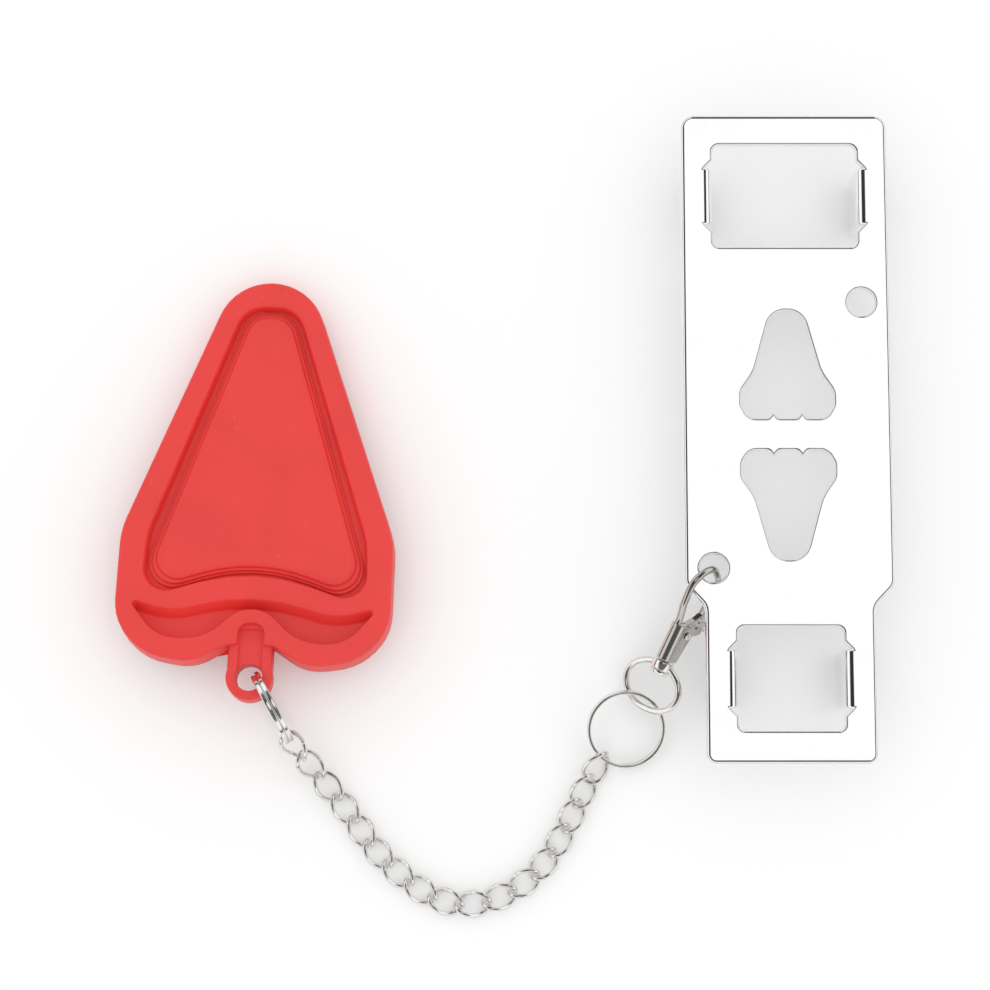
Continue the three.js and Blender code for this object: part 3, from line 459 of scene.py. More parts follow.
def moulded_plastic(name, tint):
    """Satin red plastic with a fine eroded grain, faint flow clouds and a few pale scuffs."""
    finish = settings("finishes")
    material, graph = shader_graph(name)
    place = graph.node("ShaderNodeTexCoord")["Object"]
    flow = noise(graph, place, FLOW_SPACING)
    grain = noise(graph, place, finish.grain)
    specks = noise(graph, place, SPECK_SPACING, detail=1).between(*SPECK_RANGE)
    rubbed = noise(graph, place, SCUFF_SPACING, detail=3, stretch=SCUFF_STRETCH)
    scuffs = rubbed.between(*SCUFF_RANGE)
    darkest = (*(channel * FLOW_DARKEST for channel in tint), 1)
    palest = (*(min(1, channel * FLOW_PALEST) for channel in tint), 1)
    clouded = mixed_colour(graph, flow.between(*FLOW_RANGE), darkest, palest)
    worn = specks * SPECK_SHARE + scuffs * SCUFF_SHARE
    sockets = {
        "Base Color": mixed_colour(graph, worn, clouded, SCUFF_COLOUR),
        "Roughness": PLASTIC_ROUGHNESS + flow * FLOW_ROUGHNESS + scuffs * SCUFF_ROUGHNESS,
        "Normal": relief(graph, grain * GRAIN_HEIGHT + flow * FLOW_HEIGHT),
        "IOR": PLASTIC_IOR,
    }
    close_material(graph, graph.node("ShaderNodeBsdfPrincipled", sockets)["BSDF"])
    return material


def finish_of(slot):
    """The material of a finish, made once."""
    name = f"door_lock_{slot}"
    known = bpy.data.materials.get(name)
    if known:
        return known
    finish = settings("finishes")
    if slot not in METALS:
        return moulded_plastic(name, finish.plastic)
    tint, *texture = METALS[slot]
    return metal(name, getattr(finish, tint), *texture)


# Outlines

ARC_STEP = math.radians(9)
STEP_SLACK = 0.01
LEAST_FILLET = 0.02 * MM
MOST_OF_EDGE = 0.499
NEARLY_STRAIGHT = math.radians(89.9)
SHARPEST_BEND = 0.4
SHARPEST_CORNER = 0.2


def filleted(corners):
    """The points of a closed outline through corners (x, y, fillet radius)."""
    points = []
    count = len(corners)
    for i, (x, y, radius) in enumerate(corners):
        corner = Vector((x, y))
        back = Vector(corners[i - 1][:2]) - corner
        ahead = Vector(corners[(i + 1) % count][:2]) - corner
        room = min(back.length, ahead.length) * MOST_OF_EDGE
        back.normalize()
        ahead.normalize()
        half = math.acos(max(-1, min(1, back.dot(ahead)))) / 2
        if radius <= 0 or half > NEARLY_STRAIGHT:
            points.append(corner)
            continue
        reach = min(radius / math.tan(half), room)
        radius = reach * math.tan(half)
        centre = corner + (back + ahead).normalized() * radius / math.sin(half)
        first = corner + back * reach - centre
        last = corner + ahead * reach - centre
        start = math.atan2(first.y, first.x)
        sweep = (math.atan2(last.y, last.x) - start + math.pi) % math.tau - math.pi
        steps = max(2, math.ceil(abs(sweep) / ARC_STEP - STEP_SLACK))
        for k in range(steps + 1):
            angle = start + sweep * k / steps
            points.append(centre + Vector((math.cos(angle), math.sin(angle))) * radius)
    return points


class Outline:
    """A closed outline, turning left, that can be drawn larger or smaller."""

    def __init__(self, points):
        self.points = [Vector(point) for point in points]

    def at(self, growth):
        """The points, moved outwards by a growth or inwards by a negative one."""
        count = len(self.points)
        result = []
        for i, point in enumerate(self.points):
            before = (point - self.points[i - 1]).normalized()
            after = (self.points[(i + 1) % count] - point).normalized()
            along = before + after
            normal = Vector((along.y, -along.x)).normalized()
            square = max(SHARPEST_BEND, normal.dot(Vector((before.y, -before.x))))
            result.append(point + normal * growth / square)
        return result

    def moved(self, by):
        return Outline([point + Vector(by) for point in self.points])

    def half_turned(self):
        return Outline([-point for point in self.points])


class Filleted(Outline):
    """An outline through corners (x, y, fillet radius), each of them moved when it grows."""

    def __init__(self, corners):
        area = sum(Vector(corners[i - 1][:2]).cross(Vector(c[:2])) for i, c in enumerate(corners))
        self.corners = list(corners) if area > 0 else list(reversed(corners))

    def at(self, growth):
        count = len(self.corners)
        result = []
        for i, (x, y, radius) in enumerate(self.corners):
            corner = Vector((x, y))
            before = (corner - Vector(self.corners[i - 1][:2])).normalized()
            after = (Vector(self.corners[(i + 1) % count][:2]) - corner).normalized()
            normals = Vector((before.y + after.y, -before.x - after.x))
            corner += normals * growth / max(SHARPEST_CORNER, 1 + before.dot(after))
            outwards = 1 if before.cross(after) > 0 else -1
            if radius > 0:
                radius = max(LEAST_FILLET, radius + outwards * growth)
            result.append((*corner, radius))
        return filleted(result)

    def moved(self, by):
        return Filleted([(x + by[0], y + by[1], radius) for x, y, radius in self.corners])

    def half_turned(self):
        return Filleted([(-x, -y, radius) for x, y, radius in self.corners])


def mirrored(half):
    """An outline from the corners of its right half."""
    return Filleted([*half, *[(-x, y, radius) for x, y, radius in reversed(half)]])


def circle(diameter, middle=(0, 0), steps=48):
    """A round outline about a middle."""
    angles = [math.tau * i / steps for i in range(steps)]
    points = [Vector((math.cos(a), math.sin(a))) * diameter / 2 for a in angles]
    return Outline(points).moved(middle)


def cushion(half_width, half_height, radius, steps=3):
    """A rounded rectangle with the same number of points whatever its size."""
    points = []
    for quarter, (x, y) in enumerate([(1, 1), (-1, 1), (-1, -1), (1, -1)]):
        middle = Vector((x * (half_width - radius), y * (half_height - radius)))
        points += [middle + Vector(p) for p in arc(radius, quarter, quarter + 1, steps)]
    return points


# Skins

# Roundings, as shares, steps or the angle of a dome's end in radians
SUNK_INSIDE = 0.3
SUNK_STEPS = 8
DOME_END = 1.4
DOME_STEPS = 6
SHARP_FROM = math.radians(38)
FLAT_WEIGHT = 100


class Skin:
    """A closed surface made of level outlines, the walls between them and the flats that close it."""

    def __init__(self):
        self.mesh = bmesh.new()

    def ring(self, outline, level):
        return [self.mesh.verts.new((x, y, level)) for x, y in outline]

    def points(self, places):
        return [self.mesh.verts.new(place) for place in places]

    def join(self, rings):
        """Walls from each ring to the next."""
        for lower, upper in zip(rings, rings[1:]):
            for i in range(len(lower)):
                self.mesh.faces.new((lower[i - 1], lower[i], upper[i], upper[i - 1]))

    def tube(self, rings):
        """Walls from each ring to the next, and a face over both ends."""
        self.join(rings)
        self.mesh.faces.new(rings[0])
        self.mesh.faces.new(rings[-1])
        return self

    def walls(self, outline, profile, lean=0):
        """Rings at each (growth, level) of a profile with walls between them, the ends returned.

        Lean moves a ring towards +Y by this share of its height over the last one.
        """
        top = profile[-1][1]
        rings = [
            self.ring([p + Vector((0, lean * (level - top))) for p in outline.at(growth)], level)
            for growth, level in profile
        ]
        self.join(rings)
        return rings[0], rings[-1]

    def flat(self, outer, holes=()):
        edges = [outer, *holes]
        corners = [vertex for edge in edges for vertex in edge]
        for corner_set in tessellate_polygon([[vertex.co for vertex in edge] for edge in edges]):
            self.mesh.faces.new([corners[i] for i in corner_set])

    def add(self, other, place=Matrix.Identity(4)):
        """Takes in another skin, in its own place."""
        bmesh.ops.recalc_face_normals(other.mesh, faces=other.mesh.faces)
        other.mesh.transform(place)
        copy = bpy.data.meshes.new("part")
        other.mesh.to_mesh(copy)
        self.mesh.from_mesh(copy)
        bpy.data.meshes.remove(copy)
        other.mesh.free()
        return self

    def piece(self, name, place):
        """Makes the skin one object at the origin, with its place in its mesh."""
        bmesh.ops.recalc_face_normals(self.mesh, faces=self.mesh.faces)
        self.mesh.transform(place)
        mesh = bpy.data.meshes.new(name)
        self.mesh.to_mesh(mesh)
        self.mesh.free()
        return smooth_piece(name, mesh)


def arc(radius, start, end, steps=4):
    """Points of an arc about the origin, the angles in quarter turns."""
    angles = [math.pi / 2 * (start + (end - start) * i / steps) for i in range(steps + 1)]
    return [(radius * math.cos(a), radius * math.sin(a)) for a in angles]


def rounded(bottom, top, radius, side=1, draft=0):
    """A wall's profile with rounded ends. Side is 1 for an outer edge and -1 for a hole's."""
    low = [(x - radius, bottom + radius + y) for x, y in arc(radius, -1, 0)]
    high = [(x - radius - draft, top - radius + y) for x, y in arc(radius, 0, 1)]
    return [(side * x, y) for x, y in [*low, *high]]


def sunk(floor, top, radius, foot, draft):
    """A pocket's wall from its filleted floor to its rounded edge, which lies mostly outside."""
    wall = -SUNK_INSIDE * radius
    low = [(wall - draft - foot + x, floor + foot - y) for x, y in reversed(arc(foot, 0, 1))]
    high = [(wall + radius - x, top - (radius - y)) for x, y in arc(radius, 0, 1, SUNK_STEPS)]
    return [*low, *high]


def slab(outline, bottom, top, radius, holes=(), hole_radius=None):
    """A plate with rounded edges, and holes whose edges are rounded too."""
    skin = Skin()
    low, high = skin.walls(outline, rounded(bottom, top, radius))
    inside = hole_radius or radius
    ends = [skin.walls(hole, rounded(bottom, top, inside, -1)) for hole in holes]
    skin.flat(low, [end[0] for end in ends])
    skin.flat(high, [end[1] for end in ends])
    return skin


def turned(profile, steps=32):
    """A body turned about Z from (radius, level) steps, closed by flats at both ends."""
    skin = Skin()
    rings = [skin.ring(circle(2 * radius, steps=steps).points, level) for radius, level in profile]
    skin.join(rings)
    skin.flat(rings[0])
    skin.flat(rings[-1])
    return skin


def domed(radius, bottom, top, dome):
    """The steps of a round head with a flat base and a domed top."""
    angles = np.linspace(0, DOME_END, DOME_STEPS)
    steps = [(radius * math.cos(a), top - dome + dome * math.sin(a)) for a in angles]
    return [(radius, bottom), *steps]


def smooth_piece(name, mesh):
    """An object with smooth shading, sharp at its corners, its flats kept flat."""
    for polygon in mesh.polygons:
        polygon.use_smooth = True
    mesh.set_sharp_from_angle(angle=SHARP_FROM)
    rough = bpy.data.objects.new(name, mesh)
    bpy.context.collection.objects.link(rough)
    weighting = rough.modifiers.new("Flats", "WEIGHTED_NORMAL")
    weighting.keep_sharp = True
    weighting.weight = FLAT_WEIGHT
    return baked(rough, name)


def baked(rough, name):
    """The object as its modifiers make it, in a plain mesh, in place of the object itself."""
    bpy.context.view_layer.update()
    evaluated = rough.evaluated_get(bpy.context.evaluated_depsgraph_get())
    mesh = bpy.data.meshes.new_from_object(evaluated)
    materials = [slot.material for slot in rough.material_slots]
    bpy.data.objects.remove(rough)
    mesh.name = name
    piece = bpy.data.objects.new(name, mesh)
    bpy.context.collection.objects.link(piece)
    if materials and not mesh.materials:
        for material in materials:
            mesh.materials.append(material)
    return piece


def settle(piece, slot, body, *nodes, finish=None):
    """Gives a piece its finish and its body, and has it stand for its nodes of the frame."""
    if not piece.data.materials:
        piece.data.materials.append(finish_of(finish or slot))
    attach(piece, body)
    if nodes:
        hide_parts(*nodes)
    return piece


# Places


def joint(name):
    """The frame's row for one joint."""
    return next(row for row in frame["joints"] if row["name"] == name)


def joint_place(name):
    return Vector(joint(name)["pos_m"])


def joint_axis(name):
    return Vector(joint(name)["axis"]).normalized()


def frame_at(origin, x_axis, y_axis):
    """A right-handed frame from an origin and two directions that are square to each other."""
    x_axis = x_axis.normalized()
    z_axis = x_axis.cross(y_axis).normalized()
    y_axis = z_axis.cross(x_axis)
    turn_matrix = Matrix((x_axis, y_axis, z_axis)).transposed().to_4x4()
    return Matrix.Translation(origin) @ turn_matrix


def middle_of(node):
    low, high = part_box(node)
    return (low + high) / 2


def plate_place():
    """Z runs up from the table, and the plate's middle is the origin."""
    middle = middle_of("lock_plate")
    return Matrix.Translation((middle.x, middle.y, 0))


def clasp_place():
    """Y runs up the clasp from its swivel, and Z along the lever's pin."""
    along = joint_axis("loop_swivel")
    return frame_at(joint_place("loop_swivel"), along.cross(joint_axis("lever_open")), along)


def loop_place():
    """Y runs from the swivel up the clasp, and X along the loop's width."""
    return frame_at(joint_place("loop_swivel"), joint_axis("ring_flop"), joint_axis("loop_swivel"))


def split_ring_place():
    """The clasp's split ring, its X pointing away from the swivel loop."""
    middle = joint_place("link_17_on_ring")
    axis = joint_axis("link_17_on_ring")
    outward = middle - joint_place("ring_flop")
    return frame_at(middle, outward, axis.cross(outward))


def handle_ring_place():
    """The handle's ring, its X pointing from its middle to the eye."""
    heading = settings("handle").ring_heading
    middle = joint_place("handle_on_ring")
    outward = Vector((math.cos(heading), math.sin(heading), 0))
    return frame_at(middle, outward, joint_axis("handle_on_ring").cross(outward))


def link_place(node):
    """A link's length, width and middle, found from how its corners are spread."""
    corners = np.array([vertex.co for vertex in frame["nodes"][node].data.vertices])
    corners = np.unique(np.round(corners, 7), axis=0)
    middle = Vector((corners.min(0) + corners.max(0)) / 2)
    spread = corners - corners.mean(0)
    directions = np.linalg.eigh(spread.T @ spread)[1]
    return frame_at(middle, Vector(directions[:, 2]), Vector(directions[:, 1]))


def handle_place():
    """Y runs from the tail's eye to the tip, and Z up through the rim."""
    sizes = settings("handle")
    tilt = math.atan(sizes.lug_height / (sizes.reach - sizes.lug_edge))
    direction = math.radians(90) - sizes.lean
    level = Vector((math.cos(direction), math.sin(direction), 0))
    along = level * math.cos(tilt) - UP * math.sin(tilt)
    across = along.cross(UP).normalized()
    above = across.cross(along)
    ring = handle_ring_place()
    radius = (settings("chain").ring_diameter - settings("chain").ring_wire) / 2
    origin = ring.translation + ring.col[0].to_3d() * radius - above * sizes.tail_thickness / 2
    origin -= across * sizes.ring_beside + along * sizes.ring_above
    origin.z = sizes.reach * math.sin(tilt)
    return frame_at(origin, across, along)


# Claw plate

# The claws' root, bend and tip, as steps or shares of their own sizes
CLAW_ROOT = 2.2
CLAW_BEND_STEPS = 12
CLAW_CORNER_STEPS = 10
CLAW_MIDDLE = 0.6
CLAW_TIP_NARROWING = 0.985
CLAW_EDGE_NARROWING = 0.98
SLOT_SIDE_SHARES = [
    (0.1, 0, 0.09),
    (0.155, 0.062, 0.015),
    (0.21, 0, 0.09),
    (0.42, 0, 0.15),
    (0.5, 0.12, 0.12),
    (0.5, 0.25, 0.15),
    (0.355, 0.42, 0.5),
    (0.165, 1, 0.2),
]


def nose(length, width):
    """A nose-shaped outline, its three lobes on y = 0 and its round bridge towards +Y."""
    return mirrored([(x * width, y * length, r * width) for x, y, r in SLOT_SIDE_SHARES])


def plate_outline(sizes):
    """The plate's outer edge, wide at the head and narrow at the tail."""
    head, tail, end = sizes.head_width / 2, sizes.tail_width / 2, sizes.length / 2
    half = [
        (tail, -end, sizes.tail_radius),
        (tail, -sizes.shoulder_start - sizes.shoulder_length, sizes.shoulder_radius),
        (head, -sizes.shoulder_start, sizes.shoulder_radius),
        (head, end, sizes.head_radius),
    ]
    return mirrored(half)


def window(sizes, middle, span, height):
    """A window with a slant-ended ear on each side, in which the claw and its relief cuts lie."""
    inner = span / 2 - sizes.claw_bend
    ear = sizes.ear_length / 2
    half = [
        (inner, -height / 2, sizes.window_corner),
        (inner, -ear, sizes.hole_edge),
        (span / 2, sizes.ear_slant - ear, sizes.ear_radius),
        (span / 2, ear - sizes.ear_slant, sizes.ear_radius),
        (inner, ear, sizes.hole_edge),
        (inner, height / 2, sizes.window_corner),
    ]
    return mirrored(half).moved((0, middle))


def claw(sizes, span, width):
    """One claw as rounded sections that follow its bend down from the window's side."""
    top = sizes.claw_depth + sizes.thickness
    side = span / 2
    bend, sheet, edge = sizes.claw_bend, sizes.thickness, sizes.hole_edge
    root = CLAW_ROOT * edge
    stations = [(side + root, top, 0), (side + root / 2, top, 0)]
    for i in range(CLAW_BEND_STEPS + 1):
        angle = math.pi / 2 * i / CLAW_BEND_STEPS
        stations.append((side - bend * math.sin(angle), top - bend + bend * math.cos(angle), angle))
    straight = top - bend
    corner = sizes.claw_corner
    for level in [straight * CLAW_MIDDLE, corner]:
        stations.append((side - bend, level, math.pi / 2))
    for _, y in arc(corner, 0, 1, CLAW_CORNER_STEPS)[1:]:
        stations.append((side - bend, corner - y, math.pi / 2))
    skin = Skin()
    rings = []
    for x, z, angle in stations:
        drop = corner - z if angle == math.pi / 2 else 0
        narrowing = corner - math.sqrt(max(0, corner**2 - drop**2)) if drop > 0 else 0
        half = width / 2 - narrowing * CLAW_TIP_NARROWING
        tip = max(0, edge - z)
        inwards = edge - math.sqrt(max(0, edge**2 - tip**2))
        inward = Vector((math.sin(angle), 0, -math.cos(angle)))
        depth = sheet / 2 - inwards * CLAW_EDGE_NARROWING
        section = cushion(half, depth, max(edge - inwards, LEAST_FILLET))
        middle = Vector((x, 0, z)) + inward * sheet / 2
        rings.append(skin.points([middle + Vector((0, a, 0)) + inward * b for a, b in section]))
    return skin.tube(rings)


def build_plate():
    """The sheet with its openings, and the four claws that are bent from it."""
    sizes = settings("lock_plate")
    bottom, top = sizes.claw_depth, sizes.claw_depth + sizes.thickness
    slot = nose(sizes.slot_length, sizes.slot_width).moved((0, sizes.slot_spacing / 2))
    eye = circle(sizes.eye, (sizes.eye_across, sizes.eye_along))
    offset = sizes.length / 2 - sizes.window_inset
    ends = [
        (offset, sizes.head_span, sizes.head_claw, sizes.head_window),
        (-offset, sizes.tail_span, sizes.tail_claw, sizes.tail_window),
    ]
    holes = [window(sizes, middle, span, height) for middle, span, _, height in ends]
    holes += [slot, slot.half_turned(), eye, eye.half_turned()]
    plate = slab(plate_outline(sizes), bottom, top, sizes.edge, holes, sizes.hole_edge)
    for middle, span, claw_width, _ in ends:
        for heading in (0, math.pi):
            place = Matrix.Translation((0, middle, CLAW_APART)) @ Matrix.Rotation(heading, 4, "Z")
            plate.add(claw(sizes, span, claw_width), place)
    piece = plate.piece("claw_plate", plate_place())
    settle(piece, "polished_steel", "plate", "lock_plate")


# Wire

# The lengths that each kind of wire is made from
LINK_LENGTHS = ["Length", "Width", "Wire", "Twist", "Seam"]
RING_LENGTHS = ["Diameter", "Wire", "Height", "Gap", "Jog"]
EYE_LENGTHS = ["Length", "Width", "Wire", "Thicker"]

# Points along each kind of wire and round it, and shares of its size
LINK_POINTS = 73
LINK_SIDES = 14
RING_POINTS = 193
RING_EDGE = 0.38
RING_EDGE_POINTS = 4
EYE_POINTS = 96
EYE_SIDES = 18
EYE_THICKENS = (0.74, 0.95)


def new_tree(name, lengths, counts=()):
    """A geometry node tree with named inputs, its graph, and the node that gives the inputs."""
    tree = bpy.data.node_groups.new(f"door_lock_{name}", "GeometryNodeTree")
    for kind, labels in (("NodeSocketInt", counts), ("NodeSocketFloat", lengths)):
        for label in labels:
            tree.interface.new_socket(label, in_out="INPUT", socket_type=kind)
    tree.interface.new_socket("Geometry", in_out="OUTPUT", socket_type="NodeSocketGeometry")
    graph = Graph(tree)
    return tree, graph, graph.node("NodeGroupInput")


def vector(graph, x=0.0, y=0.0, z=0.0):
    return graph.node("ShaderNodeCombineXYZ", {"X": x, "Y": y, "Z": z})["Vector"]


def even_path(graph, count):
    """A path of evenly spaced points, and how far along it each of them is."""
    line = graph.node("GeometryNodeCurvePrimitiveLine")["Curve"]
    sockets = {"Curve": line, "Count": count}
    path = graph.node("GeometryNodeResampleCurve", sockets)["Curve"]
    return path, graph.node("GeometryNodeSplineParameter")["Factor"]


def led_through(graph, path, places):
    """A path with its points at new places."""
    sockets = {"Geometry": path, "Position": places}
    return graph.node("GeometryNodeSetPosition", sockets)["Geometry"]


def round_curve(graph, points, radius):
    sockets = {"Resolution": points, "Radius": radius}
    return graph.node("GeometryNodeCurvePrimitiveCircle", sockets, mode="RADIUS")["Curve"]


def flat_curve(graph, width, height, corner, steps):
    """A rectangle with rounded corners."""
    sockets = {"Width": width, "Height": height}
    block = graph.node("GeometryNodeCurvePrimitiveQuadrilateral", sockets)["Curve"]
    sockets = {"Curve": block, "Radius": corner, "Count": steps, "Limit Radius": True}
    return graph.node("GeometryNodeFilletCurve", sockets, mode="POLY")["Curve"]


def swept(graph, path, section):
    """The skin of a section that follows a path."""
    sockets = {"Curve": path, "Profile Curve": section, "Fill Caps": True}
    return graph.node("GeometryNodeCurveToMesh", sockets)["Mesh"]


def close_tree(graph, geometry, material):
    """Ends a tree in smooth shading, real instances and the material."""
    smooth = graph.node("GeometryNodeSetShadeSmooth", {"Geometry": geometry})["Geometry"]
    real = graph.node("GeometryNodeRealizeInstances", {"Geometry": smooth})["Geometry"]
    sockets = {"Geometry": real, "Material": material}
    finished = graph.node("GeometryNodeSetMaterial", sockets)["Geometry"]
    graph.node("NodeGroupOutput", {"Geometry": finished})


def grown_from(tree, name, values, place):
    """An object that a tree makes from values, baked into a plain mesh in its place."""
    rough = bpy.data.objects.new(name, bpy.data.meshes.new(name))
    bpy.context.collection.objects.link(rough)
    modifier = rough.modifiers.new(name, "NODES")
    modifier.node_group = tree
    for item in tree.interface.items_tree:
        if item.in_out == "INPUT":
            modifier[item.identifier] = values[item.name]
    piece = baked(rough, name)
    piece.data.transform(place)
    return piece


def link_tree(material):
    """A twisted oval of round wire with a butt joint in the middle of one long side."""
    tree, graph, given = new_tree("link", LINK_LENGTHS)
    half_length = (given["Length"] - given["Wire"]) * 0.5
    half_width = (given["Width"] - given["Wire"]) * 0.5
    open_angle = given["Seam"] / half_width
    path, share = even_path(graph, LINK_POINTS)
    angle = share * (math.tau - open_angle) + open_angle * 0.5 + math.pi / 2
    x = angle.cosine() * half_length
    y = angle.sine() * half_width
    roll = x / half_length * given["Twist"] * 0.5
    oval = led_through(graph, path, vector(graph, x, y * roll.cosine(), y * roll.sine()))
    section = round_curve(graph, LINK_SIDES, given["Wire"] * 0.5)
    close_tree(graph, swept(graph, oval, section), material)
    return tree


def ring_tree(material):
    """Nearly two turns of flattened wire that step from one level to the other."""
    tree, graph, given = new_tree("ring", RING_LENGTHS)
    radius = (given["Diameter"] - given["Wire"]) * 0.5
    level = (given["Height"] + given["Gap"]) * 0.5
    path, share = even_path(graph, RING_POINTS)
    angle = share * (2 * math.tau - given["Jog"] * 2) + given["Jog"]
    rise = angle.between(math.tau - given["Jog"], given["Jog"] + math.tau)
    places = vector(graph, angle.cosine() * radius, angle.sine() * radius, (rise * 2 - 1) * level)
    coil = led_through(graph, path, places)
    upright = graph.node("GeometryNodeSetCurveNormal", {"Curve": coil}, mode="Z_UP")["Curve"]
    corner = given["Height"] * RING_EDGE
    section = flat_curve(graph, given["Height"], given["Wire"], corner, RING_EDGE_POINTS)
    close_tree(graph, swept(graph, upright, section), material)
    return tree


def oval_tree(material):
    """An oval of round wire, thicker towards +Y, the eye of the swivel."""
    tree, graph, given = new_tree("oval", EYE_LENGTHS)
    path = round_curve(graph, EYE_POINTS, 1.0)
    place = graph.node("GeometryNodeInputPosition")["Position"]
    towards = graph.node("ShaderNodeSeparateXYZ", {"Vector": place})["Y"]
    radius = towards.between(*EYE_THICKENS) * given["Thicker"] + 1
    sockets = {"Curve": path, "Radius": radius}
    swollen = graph.node("GeometryNodeSetCurveRadius", sockets)["Curve"]
    half_width = (given["Width"] - given["Wire"]) * 0.5
    half_length = (given["Length"] - given["Wire"]) * 0.5
    spread = graph.node("ShaderNodeVectorMath", operation="MULTIPLY")
    graph.feed(spread.inner.inputs[0], place)
    graph.feed(spread.inner.inputs[1], vector(graph, half_width, half_length, 1.0))
    oval = led_through(graph, swollen, spread["Vector"])
    section = round_curve(graph, EYE_SIDES, given["Wire"] * 0.5)
    close_tree(graph, swept(graph, oval, section), material)
    return tree


def values_of(sizes, kind, lengths):
    """The sizes of one kind of wire, under the names that its tree has for them."""
    return {label: getattr(sizes, f"{kind}_{label.lower()}") for label in lengths}


def build_chain():
    """Every link of the chain, each in the place of its own node."""
    tree = link_tree(finish_of("nickel"))
    values = values_of(settings("chain"), "link", LINK_LENGTHS)
    for node in sorted(name for name in frame["nodes"] if name.startswith("link_")):
        piece = grown_from(tree, f"curb_{node}", values, link_place(node))
        settle(piece, "nickel", node, node)


def build_rings():
    """The two split rings, which are of one pattern."""
    tree = ring_tree(finish_of("nickel"))
    values = values_of(settings("chain"), "ring", RING_LENGTHS)
    clasp_ring = grown_from(tree, "clasp_split_ring", values, split_ring_place())
    settle(clasp_ring, "nickel", "ring", "split_ring")
    handle_ring = grown_from(tree, "handle_split_ring", values, handle_ring_place())
    settle(handle_ring, "nickel", "handle_ring", "handle_ring")


# Snap hook

ALONG_Y = Matrix.Rotation(-math.pi / 2, 4, "X")
UPSIDE_DOWN = Matrix.Rotation(math.pi, 4, "X")
HOOK_STEPS = 10
HOOK_SIDES = 20
TAPERS_FROM = 0.5
TIP_FROM = 0.985
TIP_SHRINKS = 0.35
BACK_STEPS = 25
BACK_ROUNDING = [(0, 1), (0.3, 0.3), (1, 0)]
PIN_SIDES = 24
PIN_DOME = 0.2 * MM
RIVET_HEAD_DOME = 0.35 * MM
RIVET_TAIL_DOME = 0.3 * MM
RIB_EDGE = 0.3
RIB_EDGE_POINTS = 3


def hook_points(sizes):
    """The arm's middle line, from the body round the crown to the tip."""
    arm_x = -(sizes.body_width - sizes.wire) / 2
    bow_x = sizes.offset - sizes.opening / 2 + sizes.wire / 4
    tip_x = sizes.offset + sizes.opening / 2
    bend = sizes.length - sizes.opening / 2
    return [
        (arm_x, sizes.body_length - sizes.wire / 2),
        (arm_x, sizes.body_length + sizes.wire / 2),
        (bow_x, (sizes.body_length + bend) / 2),
        (bow_x, bend),
        (sizes.offset, sizes.length - sizes.wire / 2),
        (tip_x - sizes.tip_wire / 4, bend + sizes.tip_wire / 2),
        (tip_x, sizes.length - sizes.throat),
    ]


def smooth_line(points):
    """A centripetal curve through points."""
    places = [Vector(point) for point in points]
    places = [2 * places[0] - places[1], *places, 2 * places[-1] - places[-2]]
    line = []
    for a, b, c, d in zip(places, places[1:], places[2:], places[3:]):
        knots = [0]
        for start, end in ((a, b), (b, c), (c, d)):
            knots.append(knots[-1] + math.sqrt((end - start).length))
        for i in range(HOOK_STEPS):
            t = knots[1] + (knots[2] - knots[1]) * i / HOOK_STEPS
            line.append(curve_point((a, b, c, d), knots, t))
    return [*line, places[-2]]


def curve_point(places, knots, t):
    """The point of a curve through four places, between the second and the third."""
    level = list(places)
    for reach in (1, 2):
        level = [
            blend_points(level[i], level[i + 1], knots[i], knots[i + reach], t)
            for i in range(len(level) - 1)
        ]
    return blend_points(level[0], level[1], knots[1], knots[2], t)


def blend_points(first, last, start, end, t):
    return first * ((end - t) / (end - start)) + last * ((t - start) / (end - start))


def hook_arm(sizes):
    """The round arm, drawn thinner towards its tip, with a rounded end."""
    line = smooth_line(hook_points(sizes))
    lengths = [0]
    for start, end in zip(line, line[1:]):
        lengths.append(lengths[-1] + (end - start).length)
    skin = Skin()
    rings = []
    for i, point in enumerate(line):
        ahead = (line[min(i + 1, len(line) - 1)] - line[max(i - 1, 0)]).normalized()
        side = Vector((ahead.y, -ahead.x, 0))
        share = lengths[i] / lengths[-1]
        taper = max(0, min(1, (share - TAPERS_FROM) / (1 - TAPERS_FROM)))
        taper = taper * taper * (3 - 2 * taper)
        radius = (sizes.wire + (sizes.tip_wire - sizes.wire) * taper) / 2
        radius *= 1 - TIP_SHRINKS * max(0, share - TIP_FROM) / (1 - TIP_FROM)
        middle = Vector((point.x, point.y, 0))
        rings.append(
            skin.points(
                middle + side * radius * math.cos(a) + UP * radius * math.sin(a)
                for a in np.linspace(0, math.tau, HOOK_SIDES, endpoint=False)
            )
        )
    return skin.tube(rings)


def lever_pivot(sizes):
    """Where the lever's pin stands in the body."""
    arm_x = -(sizes.body_width - sizes.wire) / 2
    x = arm_x + sizes.wire / 2 + sizes.boss / 2 + sizes.running
    return x, sizes.body_length - sizes.boss / 2


def clasp_back(sizes):
    """The half-round back of the body, with rounded ends, that the two cheeks start from."""
    face, length, edge = sizes.body_thickness / 2, sizes.body_length, sizes.edge
    skin = Skin()
    rings = [(share * edge, inset * edge) for share, inset in BACK_ROUNDING]
    rings += [(length - y, inset) for y, inset in reversed(rings)]
    loops = []
    for y, inset in rings:
        middle = face - sizes.body_width / 2 + sizes.taper / 2 * (1 - y / length)
        radius = face - max(inset, BACK_APART)
        angles = np.linspace(math.pi / 2, 3 * math.pi / 2, BACK_STEPS)
        places = [(middle + radius * math.cos(a), y, radius * math.sin(a)) for a in angles]
        places += [(middle + 2 * edge, y, -radius), (middle + 2 * edge, y, radius)]
        loops.append(skin.points(places))
    return skin.tube(loops)


